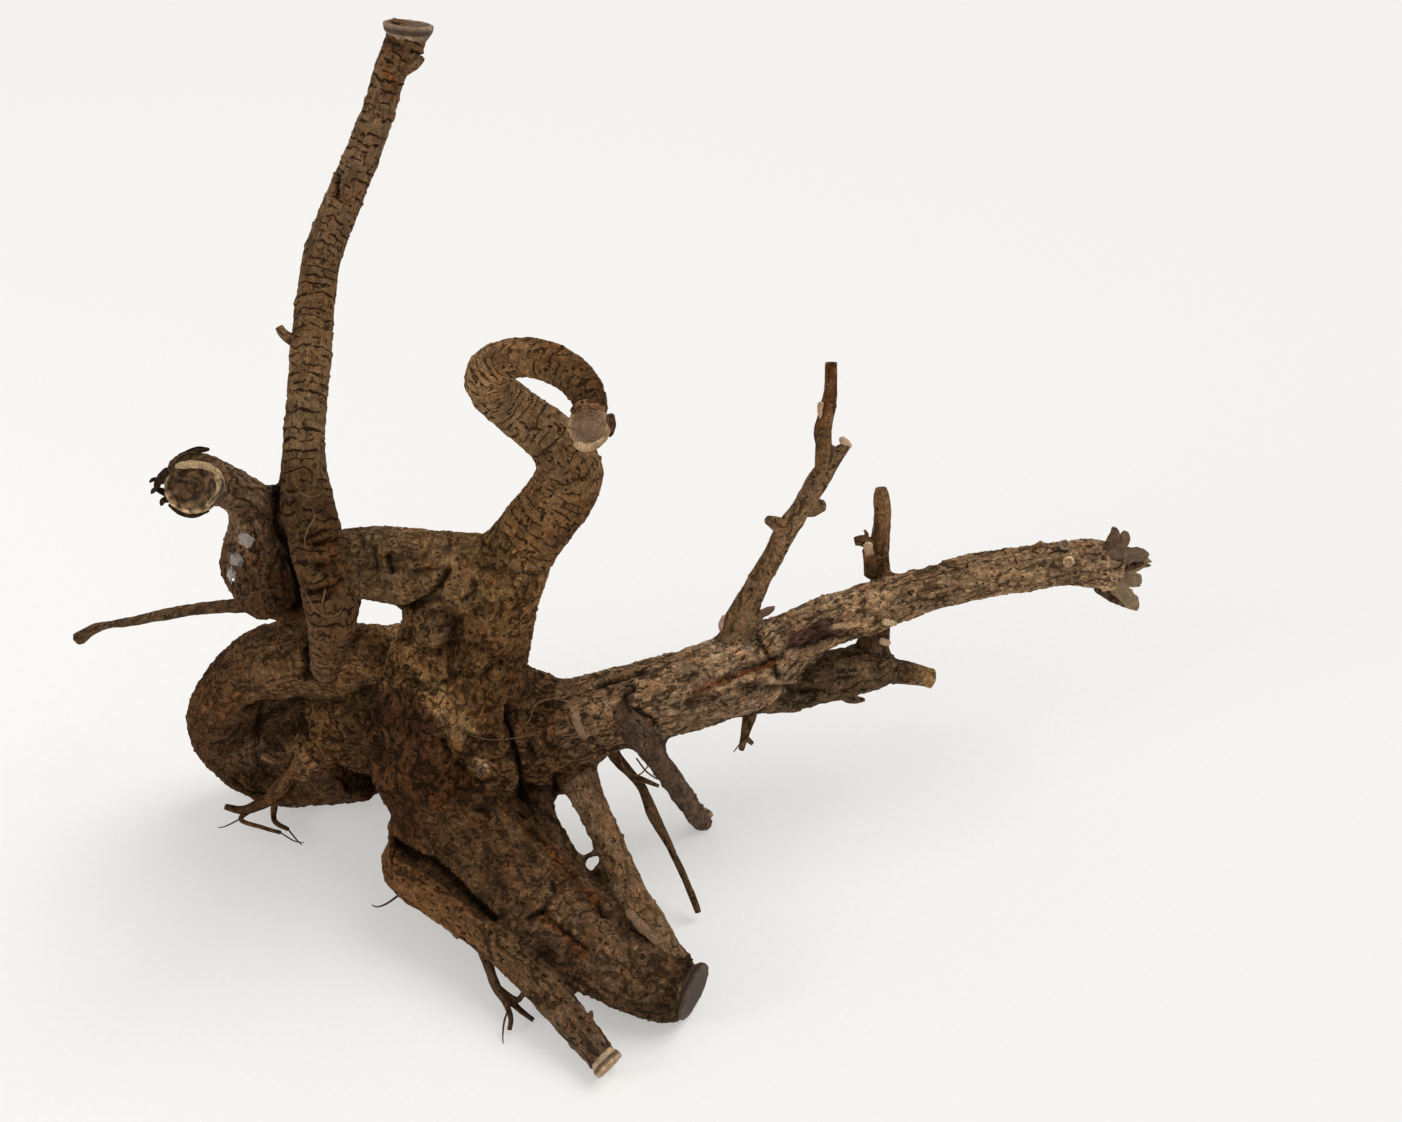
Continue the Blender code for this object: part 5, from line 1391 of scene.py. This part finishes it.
class DRIFTWOOD_OT_stage(bpy.types.Operator):
    """Lay the pale floor and set the soft lights"""

    bl_idname = "driftwood.stage"
    bl_label = "Stage"

    def execute(self, context):
        half = sizes().floor_half
        side = 9
        rows = np.linspace(-half, half, side) / MM
        level = np.zeros((side, side))
        places = np.stack([*np.meshgrid(rows, rows, indexing="ij"), level], axis=-1).reshape(-1, 3)
        here = (np.arange(side - 1)[:, None] * side + np.arange(side - 1)).ravel()
        squares = np.stack([here, here + side, here + side + 1, here + 1], axis=1)
        floor = new_piece("floor", places, squares.tolist())
        finish = Finish("pale floor")
        paper = finish.between(finish.noise(finish.object_place(), 0.4, 2.0), 0.3, 0.7)
        pale = np.array(colours().floor)
        # The floor glows: painted light, about 0.4 of its brightness, that thins the cast shadows on it and
        # lights the wood from below.
        paper_and_glow = finish.mix(paper, (*pale * 0.6, 1), (*pale * 0.612, 1))
        finish.set(finish.shader.inputs["Base Color"], paper_and_glow)
        finish.set(finish.shader.inputs["Emission Color"], paper_and_glow)
        finish.shader.inputs["Emission Strength"].default_value = 0.66
        finish.shader.inputs["Roughness"].default_value = 0.95
        finish.shader.inputs["Specular IOR Level"].default_value = 0.1
        floor.data.materials.append(finish.material)
        world = bpy.data.worlds.new("soft studio")
        world.use_nodes = True
        sky = world.node_tree.nodes["Background"]
        sky.inputs["Color"].default_value = (1.0, 0.985, 0.965, 1)
        sky.inputs["Strength"].default_value = sizes().sky_strength
        context.scene.world = world
        for name, kind, power, spread, place, aim in (
            ("key", "SUN", sizes().key_strength, math.radians(40), (0.7, 0.25, 1.2), (0, 0, 0)),
            ("glint", "AREA", 2.4, 0.3, (-0.86, -0.4, 0.46), (-0.1, 0, 0.14)),
        ):
            lamp = bpy.data.lights.new(name, kind)
            lamp.energy = power
            if kind == "SUN":
                lamp.angle = spread
            else:
                lamp.size = spread
            light = bpy.data.objects.new(name, lamp)
            context.scene.collection.objects.link(light)
            light.location = place
            light.rotation_euler = Vector(np.subtract(aim, place)).to_track_quat("-Z", "Y").to_euler()
        context.scene.view_settings.view_transform = "Standard"
        context.scene.view_settings.look = "None"
        return {"FINISHED"}


class DRIFTWOOD_OT_camera(bpy.types.Operator):
    """Set the camera where the photograph was taken from"""

    bl_idname = "driftwood.camera"
    bl_label = "Camera"

    def execute(self, context):
        lens = bpy.data.cameras.new("camera")
        lens.sensor_fit = "HORIZONTAL"
        lens.sensor_width = 36
        lens.lens = sizes().lens
        lens.clip_start = 0.01
        camera = bpy.data.objects.new("camera", lens)
        camera.location = (0.038, -0.3705, 0.3965)
        camera.rotation_euler = (math.radians(55), 0, 0)
        context.scene.collection.objects.link(camera)
        context.scene.camera = camera
        return {"FINISHED"}


class DriftwoodSizes(bpy.types.PropertyGroup):
    skin_cell: bpy.props.FloatProperty(
        name="Skin cell", description="Cell size of the grown bark skin", default=0.00275, min=0.001,
        subtype="DISTANCE", unit="LENGTH")
    bark_relief: bpy.props.FloatProperty(
        name="Bark relief", description="How strongly cracks, ridges and grain stand out",
        default=1.0, min=0.0)
    tone_gain: bpy.props.FloatProperty(
        name="Tone", description="How pale the wood is", default=2.5, min=0.1)
    cut_gain: bpy.props.FloatProperty(
        name="Cut tone", description="How pale the cut and torn wood is", default=1.5, min=0.1)
    floor_half: bpy.props.FloatProperty(
        name="Floor reach", description="Half the side of the floor", default=4.0,
        subtype="DISTANCE", unit="LENGTH")
    sky_strength: bpy.props.FloatProperty(
        name="Sky", description="Strength of the even light from all round", default=0.52, min=0.0)
    key_strength: bpy.props.FloatProperty(
        name="Key light", description="Strength of the soft light from above", default=1.5, min=0.0)
    lens: bpy.props.FloatProperty(
        name="Lens", description="Focal length of the camera", default=37.33, subtype="DISTANCE_CAMERA")


class DriftwoodColours(bpy.types.PropertyGroup):
    crack: bpy.props.FloatVectorProperty(
        name="Cracks", description="Colour at the bottom of cracks and pores", default=(0.012, 0.006, 0.003),
        size=3, subtype="COLOR", min=0, max=1)
    floor: bpy.props.FloatVectorProperty(
        name="Floor", description="Colour of the pale floor", default=(0.93, 0.92, 0.9),
        size=3, subtype="COLOR", min=0, max=1)


class DRIFTWOOD_PT_pieces(bpy.types.Panel):
    bl_idname = "DRIFTWOOD_PT_pieces"
    bl_label = "Driftwood"
    bl_space_type = "VIEW_3D"
    bl_region_type = "UI"
    bl_category = "Driftwood"

    def draw(self, context):
        for group in (context.scene.driftwood_sizes, context.scene.driftwood_colours):
            for name in group.bl_rna.properties.keys():
                if name not in {"rna_type", "name"}:
                    self.layout.prop(group, name)
        for operator in OPERATORS:
            self.layout.operator(operator.bl_idname)


OPERATORS = (
    DRIFTWOOD_OT_camera,
    DRIFTWOOD_OT_skin,
    DRIFTWOOD_OT_rootlets,
    DRIFTWOOD_OT_cuts,
    DRIFTWOOD_OT_blades,
    DRIFTWOOD_OT_fibres,
    DRIFTWOOD_OT_stage,
)


def register():
    for group in (DriftwoodSizes, DriftwoodColours, DRIFTWOOD_PT_pieces, *OPERATORS):
        bpy.utils.register_class(group)
    bpy.types.Scene.driftwood_sizes = bpy.props.PointerProperty(type=DriftwoodSizes)
    bpy.types.Scene.driftwood_colours = bpy.props.PointerProperty(type=DriftwoodColours)


def unregister():
    del bpy.types.Scene.driftwood_colours
    del bpy.types.Scene.driftwood_sizes
    for group in reversed((DriftwoodSizes, DriftwoodColours, DRIFTWOOD_PT_pieces, *OPERATORS)):
        bpy.utils.unregister_class(group)


def main():
    register()
    for operator in OPERATORS:
        group, name = operator.bl_idname.split(".")
        getattr(getattr(bpy.ops, group), name)()


if __name__ == "__main__":
    main()
